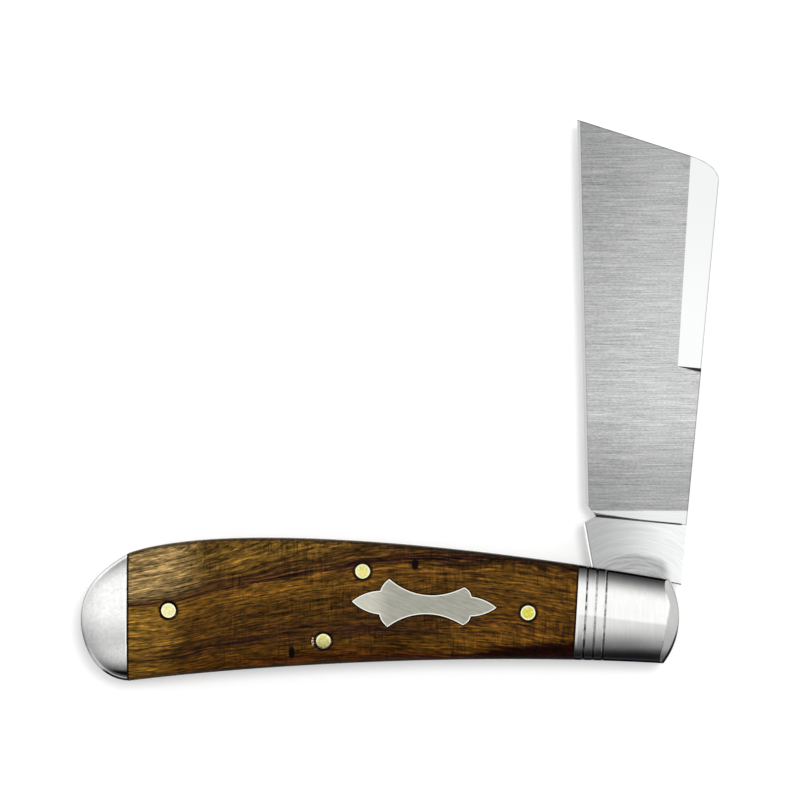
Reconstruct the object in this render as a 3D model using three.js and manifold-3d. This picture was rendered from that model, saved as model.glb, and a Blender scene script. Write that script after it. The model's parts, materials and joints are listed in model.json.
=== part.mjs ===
// A one-blade folding pocket knife, standing half open at its half stop.
// Millimetres. The handle lies flat in XY with its butt towards -X, and the blade points along +Y.
// The origin is on the pivot's axis, in the face of the pile side that the knife lies on.
// Pile side and mark side are the two sides of the handle: the shield is on the mark side, on top.

import * as THREE from 'three';
import { mergeVertices } from 'three/addons/utils/BufferGeometryUtils.js';
import loadManifold from 'manifold-3d';

// Handle: its length closed, and the ends of its two long edges
const CLOSED_LENGTH = 98.4;
const NOSE_REACH = 7.54;
const NOSE_RADIUS = 12.5;
const NOSE_TOP_Y = 6.14;
const NOSE_BOTTOM_Y = -7.6;
const CAP_LENGTH = 7.84;
const CAP_TOP_Y = 10.54;
const CAP_BOTTOM_Y = -10.46;
const BUTT_MIDDLE_Y = -0.33;
const BUTT_RADIUS = 9.5;

// Slopes of the handle's edges where they end, in degrees, and how far each end keeps its slope
const TOP_NOSE_SLOPE = 169.99;
const TOP_NOSE_PULL = 29.56;
const TOP_CAP_SLOPE = 18.42;
const TOP_CAP_PULL = 17.52;
const BUTT_TOP_SLOPE = 211.09;
const BUTT_TOP_PULL = 4.07;
const BUTT_UPPER_PULL = 5.98;
const BUTT_LOWER_PULL = 3.94;
const BUTT_BOTTOM_SLOPE = 175.18;
const BUTT_BOTTOM_PULL = 5.69;
const BOTTOM_CAP_SLOPE = 7.12;
const BOTTOM_CAP_PULL = 21.2;
const BOTTOM_NOSE_SLOPE = 176.54;
const BOTTOM_NOSE_PULL = 30.68;

// Thicknesses, from the pile side up: cover, liner, well, liner, cover
const COVER_THICKNESS = 3.6;
const LINER_THICKNESS = 1.0;
const WELL_WIDTH = 2.8;

// Crown of the covers and bolsters, and the flat ground on the nose
const EDGE_WALL = 1.2;
const CROWN_WIDTH = 6.0;
const NOSE_FACE_WIDTH = 2.0;

// Joints between the bolsters and the covers
const FRONT_JOINT_X = -9.46;
const FRONT_JOINT_LEAN = 3.3;
const REAR_JOINT_FROM_BUTT = 7.66;
const JOINT_GAP = 0.12;

// Grooves round the front bolsters, counted from the cover's end
const GROOVE_COUNT = 3;
const FIRST_GROOVE = 1.55;
const GROOVE_PITCH = 1.6;
const GROOVE_WIDTH = 0.36;
const GROOVE_DEPTH = 0.22;

// Pins, and where they stand
const PIVOT_PIN_RADIUS = 1.6;
const PIN_RADIUS = 1.25;
const RIVET_RADIUS = 0.8;
const REAR_PIN_FROM_BUTT = 14.47;
const REAR_PIN_Y = 1.15;
const SPRING_PIN_FROM_BUTT = 39.91;
const SPRING_PIN_Y = -3.87;
const UPPER_PIN_X = -44.51;
const UPPER_PIN_Y = 7.59;
const FRONT_PIN_X = -17.34;
const FRONT_PIN_Y = 0.77;
const FRONT_RIVET_X = -2.2;
const REAR_RIVET_FROM_BUTT = 4.4;
const FRONT_RIVET_SPREAD = 8.6;
const REAR_RIVET_SPREAD = 7.4;
const PIN_CLEARANCE = 0.05;

// Blade: its swings from the half stop, its reach into the butt, and its outline
const CLOSE_SWING = 79;
const OPEN_SWING = 87;
const BLADE_SIDE_GAP = 0.05;
const TIP_GAP = 2.04;
const TIP_Y_CLOSED = 6.64;
const HEEL_X_CLOSED = -19.91;
const HEEL_Y_CLOSED = -4.04;
const NOTCH_X_CLOSED = -17.41;
const NOTCH_Y_CLOSED = -2.81;
const KICK_SHOULDER_X_CLOSED = -16.78;
const KICK_SHOULDER_Y_CLOSED = -4.79;
const KICK_X_CLOSED = -16.26;
const END_SLOPE = 17.8;
const SPINE_SLOPE_OPEN = 2.4;
const SHOULDER_ALONG_END = 5.2;
const SHOULDER_ALONG_SPINE = 2.8;
const TANG_CORNER_EASE = 1.2;

// Blade: its grinds
const EDGE_THICKNESS = 0.1;
const EDGE_BEVEL_WIDTH = 0.5;
const EDGE_BEVEL_THICKNESS = 0.5;
const GRIND_WIDTH = 18.5;
const PLUNGE_RUN = 1.6;
const SWEDGE_FROM_END = 33.95;
const SWEDGE_LOW_WIDTH = 3.88;
const SWEDGE_END_WIDTH = 5.0;
const SWEDGE_SPINE_THICKNESS = 1.2;

// Spring: the line its blade side keeps under the tang, and its curve back to the butt
const SEAT_DROP = 5.4;
const SEAT_SLOPE = 1;
const SEAT_GAP = 0.06;
const SEAT_LENGTH = 24;
const SPRING_NOSE_X = 5.88;
const SPRING_NOSE_LEAN = 9.3;
const STEP_GAP = 0.15;
const SPRING_WEB = 1.45;
const BUTT_WALL = 6.6;
const WELL_END_RADIUS = 1.5;
const TIP_FLOOR_GAP = 1.3;

// Shield, in its own frame along its length
const SHIELD_X = -34.4;
const SHIELD_Y = 2.14;
const SHIELD_TILT = -2.5;
const SHIELD_LENGTH = 23.74;
const SHIELD_THICKNESS = 1.0;
const SHIELD_CLEARANCE = 0.08;
const REAR_LOBE_LENGTH = 4.57;
const REAR_LOBE_HALF = 1.93;
const REAR_EAR_LENGTH = 1.43;
const REAR_EAR_HALF = 3.94;
const FRONT_LOBE_LENGTH = 4.17;
const FRONT_LOBE_HALF = 1.6;
const FRONT_EAR_LENGTH = 1.24;
const FRONT_EAR_HALF = 3.1;
const WAIST_FROM_FRONT = 11.0;
const WAIST_HALF = 1.54;
const SHIELD_RIVET_INSET = 5.2;

// Facets
const CURVE_STEPS = 14;
const CROWN_STEPS = 6;
const NOSE_FACETS = 144;
const PIN_FACETS = 24;
const RIVET_FACETS = 12;
const SAME_POINT = 1e-4;

// Heights worked out from the thicknesses
const CROWN_RISE = COVER_THICKNESS - EDGE_WALL;
const WELL_LOW = COVER_THICKNESS + LINER_THICKNESS;
const WELL_HIGH = WELL_LOW + WELL_WIDTH;
const TOTAL_THICKNESS = WELL_HIGH + WELL_LOW;
const BLADE_THICKNESS = WELL_WIDTH - 2 * BLADE_SIDE_GAP;
const BLADE_MIDDLE_Z = TOTAL_THICKNESS / 2;
const REACH = 2 * CLOSED_LENGTH;

// Places worked out along the handle
const BUTT_X = NOSE_REACH - CLOSED_LENGTH;
const REAR_JOINT_X = BUTT_X + REAR_JOINT_FROM_BUTT;
const WELL_END_X = BUTT_X + BUTT_WALL;
const REAR_PIN = new THREE.Vector2(BUTT_X + REAR_PIN_FROM_BUTT, REAR_PIN_Y);
const SPRING_PIN = new THREE.Vector2(BUTT_X + SPRING_PIN_FROM_BUTT, SPRING_PIN_Y);
const UPPER_PIN = new THREE.Vector2(UPPER_PIN_X, UPPER_PIN_Y);
const FRONT_PIN = new THREE.Vector2(FRONT_PIN_X, FRONT_PIN_Y);
const SHIELD_MIDDLE = new THREE.Vector2(SHIELD_X, SHIELD_Y);

// The two sides of the handle, each with the heights of its cover and liner
const SIDES = {
  pile: { cover: [0, COVER_THICKNESS], liner: [COVER_THICKNESS, WELL_LOW] },
  mark: { cover: [WELL_HIGH + LINER_THICKNESS, TOTAL_THICKNESS], liner: [WELL_HIGH, WELL_HIGH + LINER_THICKNESS] },
};

const wasm = await loadManifold();
wasm.setup();

// Plane geometry

function heading(degrees) {
  const angle = THREE.MathUtils.degToRad(degrees);
  return new THREE.Vector2(Math.cos(angle), Math.sin(angle));
}

function along(from, degrees, distance) {
  return from.clone().addScaledVector(heading(degrees), distance);
}

function turned(point, degrees) {
  return point.clone().rotateAround(new THREE.Vector2(0, 0), THREE.MathUtils.degToRad(degrees));
}

// Where the line through p at one heading crosses the line through q at another
function crossing(p, pDegrees, q, qDegrees) {
  const a = heading(pDegrees);
  const b = heading(qDegrees);
  const gap = q.clone().sub(p);
  return p.clone().addScaledVector(a, gap.cross(b) / a.cross(b));
}

function flat(point) {
  return new THREE.Vector3(point.x, point.y, 0);
}

function headingFrom(p, q) {
  return THREE.MathUtils.radToDeg(Math.atan2(q.y - p.y, q.x - p.x));
}

// A closed outline moved outwards by a distance, or inwards by a negative one, corner by corner
function grown(points, distance) {
  const loop = THREE.ShapeUtils.isClockWise(points) ? [...points].reverse() : points;
  return loop.map((point, i) => {
    const before = loop[(i + loop.length - 1) % loop.length];
    const after = loop[(i + 1) % loop.length];
    const into = point.clone().sub(before).normalize();
    const out = after.clone().sub(point).normalize();
    const outward = new THREE.Vector2(into.y + out.y, -into.x - out.x);
    return point.clone().addScaledVector(outward, distance / (1 + into.dot(out)));
  });
}

// The corners of a closed shape, once each
function pointsOf(shape, steps = CURVE_STEPS) {
  const points = shape.getPoints(steps);
  return points.filter((point, i) => point.distanceTo(points[(i + 1) % points.length]) > SAME_POINT);
}

// Solids

// A closed three.js mesh as a body to join and cut. Triangles that close up on an axis are dropped.
function solid(geometry) {
  const bare = geometry.clone();
  bare.deleteAttribute('normal');
  bare.deleteAttribute('uv');
  const merged = mergeVertices(bare, 1e-5);
  const corners = [...merged.index.array];
  const kept = corners.filter((_, i) => {
    const [a, b, c] = corners.slice(i - (i % 3), i - (i % 3) + 3);
    return a !== b && b !== c && c !== a;
  });
  return new wasm.Manifold(new wasm.Mesh({
    numProp: 3,
    vertProperties: merged.attributes.position.array,
    triVerts: new Uint32Array(kept),
  }));
}

function plate(points, [low, high]) {
  const geometry = new THREE.ExtrudeGeometry(new THREE.Shape(points), { depth: high - low, bevelEnabled: false });
  geometry.translate(0, 0, low);
  return solid(geometry);
}

// A plate with crowned faces. Each rim falls away in a quarter of an ellipse, drawn by rings of
// points that step inwards from the outline towards the handle's middle line.
function crowned(points, [low, high], width, rise) {
  const rings = Array.from({ length: CROWN_STEPS + 1 }, (_, i) => {
    const angle = (i / CROWN_STEPS) * (Math.PI / 2);
    const inset = width * (1 - Math.cos(angle));
    const ring = points.map((point) => {
      const inward = MIDDLE_LINE.closestPointToPoint(flat(point), true, new THREE.Vector3()).sub(flat(point));
      const limit = Math.min(1, (0.95 * inward.length()) / width);
      return flat(point).addScaledVector(inward.normalize(), inset * limit);
    });
    return { ring, height: rise * Math.sin(angle) };
  });
  const atHeight = (ring, z) => ring.map(({ x, y }) => new THREE.Vector3(x, y, z));
  const lower = [...rings].reverse().map(({ ring, height }) => atHeight(ring, low + rise - height));
  const upper = rings.map(({ ring, height }) => atHeight(ring, high - rise + height));
  return stacked([...lower, ...upper]);
}

// A closed body through a stack of rings, each with as many points, running anticlockwise
function stacked(rings) {
  const count = rings[0].length;
  const lid = THREE.ShapeUtils.triangulateShape(rings[0].map(({ x, y }) => new THREE.Vector2(x, y)), []);
  const top = (rings.length - 1) * count;
  const index = lid.flatMap(([a, b, c]) => [c, b, a]);
  for (let level = 0; level < rings.length - 1; level += 1) {
    for (let i = 0; i < count; i += 1) {
      const here = level * count + i;
      const next = level * count + ((i + 1) % count);
      index.push(here, next, next + count, here, next + count, here + count);
    }
  }
  index.push(...lid.flatMap(([a, b, c]) => [a + top, b + top, c + top]));
  const geometry = new THREE.BufferGeometry().setFromPoints(rings.flat());
  geometry.setIndex(index);
  return solid(geometry);
}

function rod(at, radius, [low, high], facets = PIN_FACETS) {
  const geometry = new THREE.CylinderGeometry(radius, radius, high - low, facets);
  geometry.rotateX(Math.PI / 2);
  geometry.translate(at.x, at.y, (low + high) / 2);
  return solid(geometry);
}

// All of space on the heading side of a line, as a block far larger than the knife
function beyond(point, degrees) {
  const geometry = new THREE.BoxGeometry(REACH, 2 * REACH, REACH);
  geometry.translate(REACH / 2, 0, 0);
  geometry.rotateZ(THREE.MathUtils.degToRad(degrees));
  geometry.translate(point.x, point.y, 0);
  return solid(geometry);
}

// All of space above the plane through three points, or below it, as a block
function blockBeyondPlane(a, b, c, up) {
  const normal = b.clone().sub(a).cross(c.clone().sub(a)).normalize();
  normal.multiplyScalar(Math.sign(normal.z) * up);
  const geometry = new THREE.BoxGeometry(2 * REACH, 2 * REACH, REACH);
  geometry.translate(0, 0, REACH / 2);
  geometry.applyQuaternion(new THREE.Quaternion().setFromUnitVectors(new THREE.Vector3(0, 0, 1), normal));
  geometry.translate(a.x, a.y, a.z);
  return solid(geometry);
}

// A long bar with the given section, lying along a heading in XY.
// The section's x runs to the right of the heading, and its y runs up from the blade's middle.
function bar(section, start, degrees) {
  const geometry = new THREE.ExtrudeGeometry(new THREE.Shape(section), { depth: 2 * REACH, bevelEnabled: false });
  geometry.translate(0, 0, -REACH);
  geometry.rotateX(Math.PI / 2);
  geometry.rotateZ(THREE.MathUtils.degToRad(degrees - 90));
  geometry.translate(start.x, start.y, BLADE_MIDDLE_Z);
  return solid(geometry);
}

// The same section above and below the blade's middle, from its upper half
function bothSides(upper) {
  const section = upper.map(([x, y]) => new THREE.Vector2(x, y));
  const lower = upper.map(([x, y]) => new THREE.Vector2(x, -y)).reverse();
  return [...section, ...lower];
}

// Handle outline

const NOSE_CENTRE = new THREE.Vector2(NOSE_REACH - NOSE_RADIUS, 0);

function noseArcPoint(y) {
  return new THREE.Vector2(NOSE_CENTRE.x + Math.sqrt(NOSE_RADIUS ** 2 - y ** 2), y);
}

const NOSE_TOP = noseArcPoint(NOSE_TOP_Y);
const NOSE_BOTTOM = noseArcPoint(NOSE_BOTTOM_Y);

// With a stretch, both edges run straight on past the nose, to carry the crown over it
function handleOutline(stretch = 0) {
  const capTop = new THREE.Vector2(BUTT_X + CAP_LENGTH, CAP_TOP_Y);
  const butt = new THREE.Vector2(BUTT_X, BUTT_MIDDLE_Y);
  const capBottom = new THREE.Vector2(BUTT_X + CAP_LENGTH, CAP_BOTTOM_Y);
  const curve = (shape, controlA, controlB, end) => shape.bezierCurveTo(
    controlA.x, controlA.y, controlB.x, controlB.y, end.x, end.y);
  const shape = new THREE.Shape();
  shape.moveTo(NOSE_TOP.x, NOSE_TOP.y);
  curve(shape, along(NOSE_TOP, TOP_NOSE_SLOPE, TOP_NOSE_PULL), along(capTop, TOP_CAP_SLOPE, TOP_CAP_PULL), capTop);
  curve(shape, along(capTop, BUTT_TOP_SLOPE, BUTT_TOP_PULL), along(butt, 90, BUTT_UPPER_PULL), butt);
  curve(shape, along(butt, -90, BUTT_LOWER_PULL), along(capBottom, BUTT_BOTTOM_SLOPE, BUTT_BOTTOM_PULL), capBottom);
  curve(shape, along(capBottom, BOTTOM_CAP_SLOPE, BOTTOM_CAP_PULL),
    along(NOSE_BOTTOM, BOTTOM_NOSE_SLOPE, BOTTOM_NOSE_PULL), NOSE_BOTTOM);
  if (stretch > 0) {
    const endTop = along(NOSE_TOP, TOP_NOSE_SLOPE, -stretch);
    const endBottom = along(NOSE_BOTTOM, BOTTOM_NOSE_SLOPE, -stretch);
    shape.lineTo(endBottom.x, endBottom.y);
    shape.lineTo(endTop.x, endTop.y);
  } else {
    const from = Math.asin(NOSE_BOTTOM_Y / NOSE_RADIUS);
    shape.absarc(NOSE_CENTRE.x, NOSE_CENTRE.y, NOSE_RADIUS, from, Math.asin(NOSE_TOP_Y / NOSE_RADIUS));
  }
  return pointsOf(shape);
}

const OUTLINE = handleOutline();
const LONG_OUTLINE = handleOutline(2 * CROWN_WIDTH);

// The line that the crown rises towards, from the middle of the butt's curve to past the nose
const MIDDLE_LINE = new THREE.Line3(
  new THREE.Vector3(BUTT_X + BUTT_RADIUS, BUTT_MIDDLE_Y, 0),
  new THREE.Vector3(NOSE_REACH + CROWN_WIDTH, (NOSE_TOP_Y + NOSE_BOTTOM_Y) / 2, 0),
);

// Handle shell: both sides as one crowned body, with a flat ground all round its nose
const FULL_HEIGHT = [0, TOTAL_THICKNESS];
const shell = crowned(LONG_OUTLINE, FULL_HEIGHT, CROWN_WIDTH, CROWN_RISE).subtract(noseWaste());

function noseWaste() {
  const face = NOSE_RADIUS - NOSE_FACE_WIDTH;
  const profile = [
    [0, 0],
    [face, 0],
    [NOSE_RADIUS, CROWN_RISE],
    [NOSE_RADIUS, TOTAL_THICKNESS - CROWN_RISE],
    [face, TOTAL_THICKNESS],
    [0, TOTAL_THICKNESS],
  ];
  const geometry = new THREE.LatheGeometry(profile.map(([x, y]) => new THREE.Vector2(x, y)), NOSE_FACETS);
  geometry.rotateX(Math.PI / 2);
  geometry.translate(NOSE_CENTRE.x, NOSE_CENTRE.y, 0);
  return beyond(NOSE_CENTRE, 0).subtract(solid(geometry));
}

// What is left of the crown under the grooves
const grooveFloor = crowned(grown(LONG_OUTLINE, -GROOVE_DEPTH),
  [GROOVE_DEPTH, TOTAL_THICKNESS - GROOVE_DEPTH], CROWN_WIDTH, CROWN_RISE);

const frontJoint = new THREE.Vector2(FRONT_JOINT_X, 0);
const rearJoint = new THREE.Vector2(REAR_JOINT_X, 0);
const OF_FRONT = -FRONT_JOINT_LEAN;

function slab([low, high]) {
  return plate([
    new THREE.Vector2(-REACH, -REACH),
    new THREE.Vector2(REACH, -REACH),
    new THREE.Vector2(REACH, REACH),
    new THREE.Vector2(-REACH, REACH),
  ], [low, high]);
}

// Pins and rivets. The through pins hold the spring, and the cover pins stop inside their liner,
// because the closed blade lies where they would come out.

const THROUGH_PINS = {
  pivot_pin: { at: new THREE.Vector2(0, 0), radius: PIVOT_PIN_RADIUS },
  spring_center_pin: { at: SPRING_PIN, radius: PIN_RADIUS },
  spring_rear_pin: { at: REAR_PIN, radius: PIN_RADIUS },
};

const COVER_PINS = {
  cover_pin_upper: { at: UPPER_PIN, radius: PIN_RADIUS },
  cover_pin_front: { at: FRONT_PIN, radius: PIN_RADIUS },
};

function rivetPair(name, x, spread) {
  const middle = (NOSE_TOP_Y + NOSE_BOTTOM_Y) / 2;
  return {
    [`${name}_upper`]: { at: new THREE.Vector2(x, middle + spread / 2), radius: RIVET_RADIUS },
    [`${name}_lower`]: { at: new THREE.Vector2(x, middle - spread / 2), radius: RIVET_RADIUS },
  };
}

const BOLSTER_RIVETS = {
  ...rivetPair('front_bolster_rivet', FRONT_RIVET_X, FRONT_RIVET_SPREAD),
  ...rivetPair('rear_bolster_rivet', BUTT_X + REAR_RIVET_FROM_BUTT, REAR_RIVET_SPREAD),
};

function drilled(body, pins, facets) {
  return Object.values(pins).reduce(
    (left, { at, radius }) => left.subtract(rod(at, radius + PIN_CLEARANCE, [-1, TOTAL_THICKNESS + 1], facets)), body);
}

// Shield

function shieldOutline() {
  const half = SHIELD_LENGTH / 2;
  const rearNotch = -half + REAR_LOBE_LENGTH;
  const rearEar = rearNotch + REAR_EAR_LENGTH;
  const frontNotch = half - FRONT_LOBE_LENGTH;
  const frontEar = frontNotch - FRONT_EAR_LENGTH;
  const waist = half - WAIST_FROM_FRONT;
  // Each stretch of the upper edge: the point that pulls it, then its end
  const upper = [
    [-half + 0.43 * REAR_LOBE_LENGTH, 0.9 * REAR_LOBE_HALF, rearNotch, REAR_LOBE_HALF],
    [rearNotch + 0.22 * REAR_EAR_LENGTH, 0.8 * REAR_EAR_HALF, rearEar, REAR_EAR_HALF],
    [rearEar + 0.44 * (waist - rearEar), WAIST_HALF, waist, WAIST_HALF],
    [waist + 0.49 * (frontEar - waist), WAIST_HALF, frontEar, FRONT_EAR_HALF],
    [frontNotch - 0.14 * FRONT_EAR_LENGTH, 0.84 * FRONT_EAR_HALF, frontNotch, FRONT_LOBE_HALF],
    [frontNotch + 0.55 * FRONT_LOBE_LENGTH, 0.9 * FRONT_LOBE_HALF, half, 0],
  ];
  const shape = new THREE.Shape();
  shape.moveTo(-half, 0);
  upper.forEach(([pullX, pullY, x, y]) => shape.quadraticCurveTo(pullX, pullY, x, y));
  [...upper].reverse().forEach(([pullX, pullY], i, list) => {
    const [, , x, y] = list[i + 1] ?? [0, 0, -half, 0];
    shape.quadraticCurveTo(pullX, -pullY, x, -y);
  });
  const points = pointsOf(shape, Math.round(CURVE_STEPS / 2));
  return points.map((point) => turned(point, SHIELD_TILT).add(SHIELD_MIDDLE));
}

const SHIELD_OUTLINE = shieldOutline();
const SHIELD_FLOOR = TOTAL_THICKNESS - SHIELD_THICKNESS;
const shieldRivetReach = SHIELD_LENGTH / 2 - SHIELD_RIVET_INSET;
const SHIELD_RIVETS = {
  shield_rivet_rear: { at: along(SHIELD_MIDDLE, SHIELD_TILT + 180, shieldRivetReach), radius: RIVET_RADIUS },
  shield_rivet_front: { at: along(SHIELD_MIDDLE, SHIELD_TILT, shieldRivetReach), radius: RIVET_RADIUS },
};

// Blade. It is drawn at the half stop, with what meets the spring turned there
// from where it lies when the blade is closed or open.

const SEAT_POINT = new THREE.Vector2(0, -SEAT_DROP);
const TANG_SEAT_POINT = new THREE.Vector2(0, -SEAT_DROP + SEAT_GAP);
const fromClosed = (point) => turned(point, -CLOSE_SWING);
const fromOpen = (point) => turned(point, OPEN_SWING);

const TIP = fromClosed(new THREE.Vector2(WELL_END_X + TIP_GAP, TIP_Y_CLOSED));
const HEEL = fromClosed(new THREE.Vector2(HEEL_X_CLOSED, HEEL_Y_CLOSED));
const NOTCH = fromClosed(new THREE.Vector2(NOTCH_X_CLOSED, NOTCH_Y_CLOSED));
const EDGE_HEADING = headingFrom(HEEL, TIP);
const SPINE_HEADING = OPEN_SWING - SPINE_SLOPE_OPEN;
const SPINE_FOOT = fromOpen(NOSE_BOTTOM);
const SPINE_END = crossing(TIP, -END_SLOPE, SPINE_FOOT, SPINE_HEADING);

// The step at the spine's foot, which meets the end of the spring when the blade is open
const STEP_POINT = fromOpen(new THREE.Vector2(SPRING_NOSE_X + STEP_GAP, -SEAT_DROP));
const STEP_HEADING = OPEN_SWING + 90 - SPRING_NOSE_LEAN;

// The tang's three flats: each lies on the spring in one of the blade's places
const CLOSED_FLAT = { point: fromClosed(TANG_SEAT_POINT), heading: -SEAT_SLOPE - CLOSE_SWING };
const HALF_FLAT = { point: TANG_SEAT_POINT, heading: -SEAT_SLOPE };
const OPEN_FLAT = { point: fromOpen(TANG_SEAT_POINT), heading: -SEAT_SLOPE + OPEN_SWING };

function eased(shape, from, corner, to) {
  const start = along(corner, headingFrom(corner, from), TANG_CORNER_EASE);
  const end = along(corner, headingFrom(corner, to), TANG_CORNER_EASE);
  shape.lineTo(start.x, start.y);
  shape.quadraticCurveTo(corner.x, corner.y, end.x, end.y);
}

function bladeOutline() {
  const kickY = -SEAT_DROP + SEAT_GAP - KICK_X_CLOSED * Math.tan(THREE.MathUtils.degToRad(SEAT_SLOPE));
  const kick = fromClosed(new THREE.Vector2(KICK_X_CLOSED, kickY));
  const kickShoulder = fromClosed(new THREE.Vector2(KICK_SHOULDER_X_CLOSED, KICK_SHOULDER_Y_CLOSED));
  const lowCorner = crossing(CLOSED_FLAT.point, CLOSED_FLAT.heading, HALF_FLAT.point, HALF_FLAT.heading);
  const noseCorner = crossing(HALF_FLAT.point, HALF_FLAT.heading, OPEN_FLAT.point, OPEN_FLAT.heading);
  const stepInner = crossing(OPEN_FLAT.point, OPEN_FLAT.heading, STEP_POINT, STEP_HEADING);
  const stepOuter = crossing(SPINE_FOOT, SPINE_HEADING, STEP_POINT, STEP_HEADING);
  const shoulderLow = along(SPINE_END, SPINE_HEADING, -SHOULDER_ALONG_SPINE);
  const shoulderHigh = along(SPINE_END, 180 - END_SLOPE, SHOULDER_ALONG_END);
  const shape = new THREE.Shape();
  shape.moveTo(kick.x, kick.y);
  eased(shape, kick, lowCorner, noseCorner);
  eased(shape, lowCorner, noseCorner, stepInner);
  shape.lineTo(stepInner.x, stepInner.y);
  shape.lineTo(stepOuter.x, stepOuter.y);
  shape.lineTo(shoulderLow.x, shoulderLow.y);
  shape.quadraticCurveTo(SPINE_END.x, SPINE_END.y, shoulderHigh.x, shoulderHigh.y);
  shape.lineTo(TIP.x, TIP.y);
  shape.lineTo(HEEL.x, HEEL.y);
  shape.lineTo(NOTCH.x, NOTCH.y);
  shape.lineTo(kickShoulder.x, kickShoulder.y);
  return pointsOf(shape);
}

// The blade's section across its edge line: sharpened edge, flat grind, full stock
function grindSection() {
  const stock = BLADE_THICKNESS / 2;
  return bothSides([
    [-REACH, EDGE_THICKNESS / 2],
    [0, EDGE_THICKNESS / 2],
    [EDGE_BEVEL_WIDTH, EDGE_BEVEL_THICKNESS / 2],
    [GRIND_WIDTH, stock],
    [REACH, stock],
  ]);
}

// The tang keeps its full thickness up to the plunge line, and the grind beyond it starts with a hollow curve
function tangSection() {
  const stock = BLADE_THICKNESS / 2;
  const fall = stock - EDGE_THICKNESS / 4;
  const steps = CROWN_STEPS;
  const hollow = Array.from({ length: steps }, (_, i) => {
    const share = (i + 1) / steps;
    return [-share * PLUNGE_RUN, stock - fall * Math.sqrt(1 - (1 - share) ** 2)];
  });
  return bothSides([...hollow.reverse(), [0, stock], [REACH, stock]]);
}

// Half of the blade's thickness on its flat grind, at a place in plan
function grindHalfAt(point) {
  const across = point.clone().sub(HEEL).dot(heading(EDGE_HEADING - 90));
  const share = (across - EDGE_BEVEL_WIDTH) / (GRIND_WIDTH - EDGE_BEVEL_WIDTH);
  return THREE.MathUtils.lerp(EDGE_BEVEL_THICKNESS, BLADE_THICKNESS, Math.min(1, share)) / 2;
}

// The false edge along the outer part of the spine. On each side its plane leaves the grind along
// a border that draws away from the spine towards the blade's end, and thins the spine evenly.
function swedgeCut() {
  const low = along(SPINE_END, SPINE_HEADING, -SWEDGE_FROM_END);
  const borderLow = along(low, SPINE_HEADING + 90, SWEDGE_LOW_WIDTH);
  const borderEnd = along(SPINE_END, SPINE_HEADING + 90, SWEDGE_END_WIDTH);
  const facing = (up) => {
    const raised = (point, half) => new THREE.Vector3(point.x, point.y, BLADE_MIDDLE_Z + up * half);
    return blockBeyondPlane(
      raised(borderLow, grindHalfAt(borderLow)),
      raised(borderEnd, grindHalfAt(borderEnd)),
      raised(SPINE_END, SWEDGE_SPINE_THICKNESS / 2),
      up,
    );
  };
  return beyond(low, SPINE_HEADING).intersect(facing(1).add(facing(-1)));
}

function makeBlade() {
  const stock = plate(bladeOutline(), [BLADE_MIDDLE_Z - BLADE_THICKNESS / 2, BLADE_MIDDLE_Z + BLADE_THICKNESS / 2]);
  const grind = bar(grindSection(), HEEL, EDGE_HEADING);
  const tang = bar(tangSection(), NOTCH, SPINE_HEADING - 90);
  const ground = stock.intersect(grind.add(tang)).subtract(swedgeCut());
  return drilled(ground, { pivot_pin: THROUGH_PINS.pivot_pin });
}

// Spring. Its back is the handle's back, and its blade side rises behind the tang to the butt,
// where it closes the end of the well.

function makeBackspring() {
  const seatY = (x) => -SEAT_DROP - x * Math.tan(THREE.MathUtils.degToRad(SEAT_SLOPE));
  const noseSeat = crossing(SEAT_POINT, -SEAT_SLOPE, new THREE.Vector2(SPRING_NOSE_X, -SEAT_DROP), 90 - SPRING_NOSE_LEAN);
  const noseLow = along(noseSeat, -90 - SPRING_NOSE_LEAN, REACH / 8);
  const seatEnd = new THREE.Vector2(-SEAT_LENGTH, seatY(-SEAT_LENGTH));
  const overSpringPin = new THREE.Vector2(SPRING_PIN.x, SPRING_PIN.y + PIN_RADIUS + SPRING_WEB);
  const overRearPin = new THREE.Vector2(REAR_PIN.x, REAR_PIN.y + PIN_RADIUS + SPRING_WEB);
  const floorEnd = new THREE.Vector2(WELL_END_X + WELL_END_RADIUS, TIP_Y_CLOSED - TIP_FLOOR_GAP);
  const shape = new THREE.Shape();
  shape.moveTo(noseSeat.x, noseSeat.y);
  shape.lineTo(seatEnd.x, seatEnd.y);
  shape.splineThru([overSpringPin, overRearPin, floorEnd]);
  shape.quadraticCurveTo(WELL_END_X, floorEnd.y, WELL_END_X, floorEnd.y + WELL_END_RADIUS);
  shape.lineTo(WELL_END_X, REACH);
  shape.lineTo(-REACH, REACH);
  shape.lineTo(-REACH, -REACH);
  shape.lineTo(noseLow.x, -REACH);
  shape.lineTo(noseLow.x, noseLow.y);
  const body = plate(OUTLINE, [WELL_LOW, WELL_HIGH]).intersect(plate(pointsOf(shape), [0, TOTAL_THICKNESS]));
  return drilled(body, { spring_center_pin: THROUGH_PINS.spring_center_pin, spring_rear_pin: THROUGH_PINS.spring_rear_pin });
}

// Liners, covers and bolsters

function makeLiner(side) {
  const body = drilled(plate(OUTLINE, side.liner), { ...THROUGH_PINS, ...COVER_PINS });
  return drilled(body, BOLSTER_RIVETS, RIVET_FACETS);
}

function makeCover(side) {
  const frontEnd = beyond(along(frontJoint, OF_FRONT, -JOINT_GAP / 2), OF_FRONT + 180);
  const rearEnd = beyond(along(rearJoint, 0, JOINT_GAP / 2), 0);
  const body = shell.intersect(slab(side.cover)).intersect(frontEnd).intersect(rearEnd);
  return drilled(body, { ...THROUGH_PINS, ...COVER_PINS });
}

function inletForShield(cover) {
  const recess = plate(grown(SHIELD_OUTLINE, SHIELD_CLEARANCE), [SHIELD_FLOOR, TOTAL_THICKNESS + 1]);
  return drilled(cover.subtract(recess), SHIELD_RIVETS, RIVET_FACETS);
}

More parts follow.
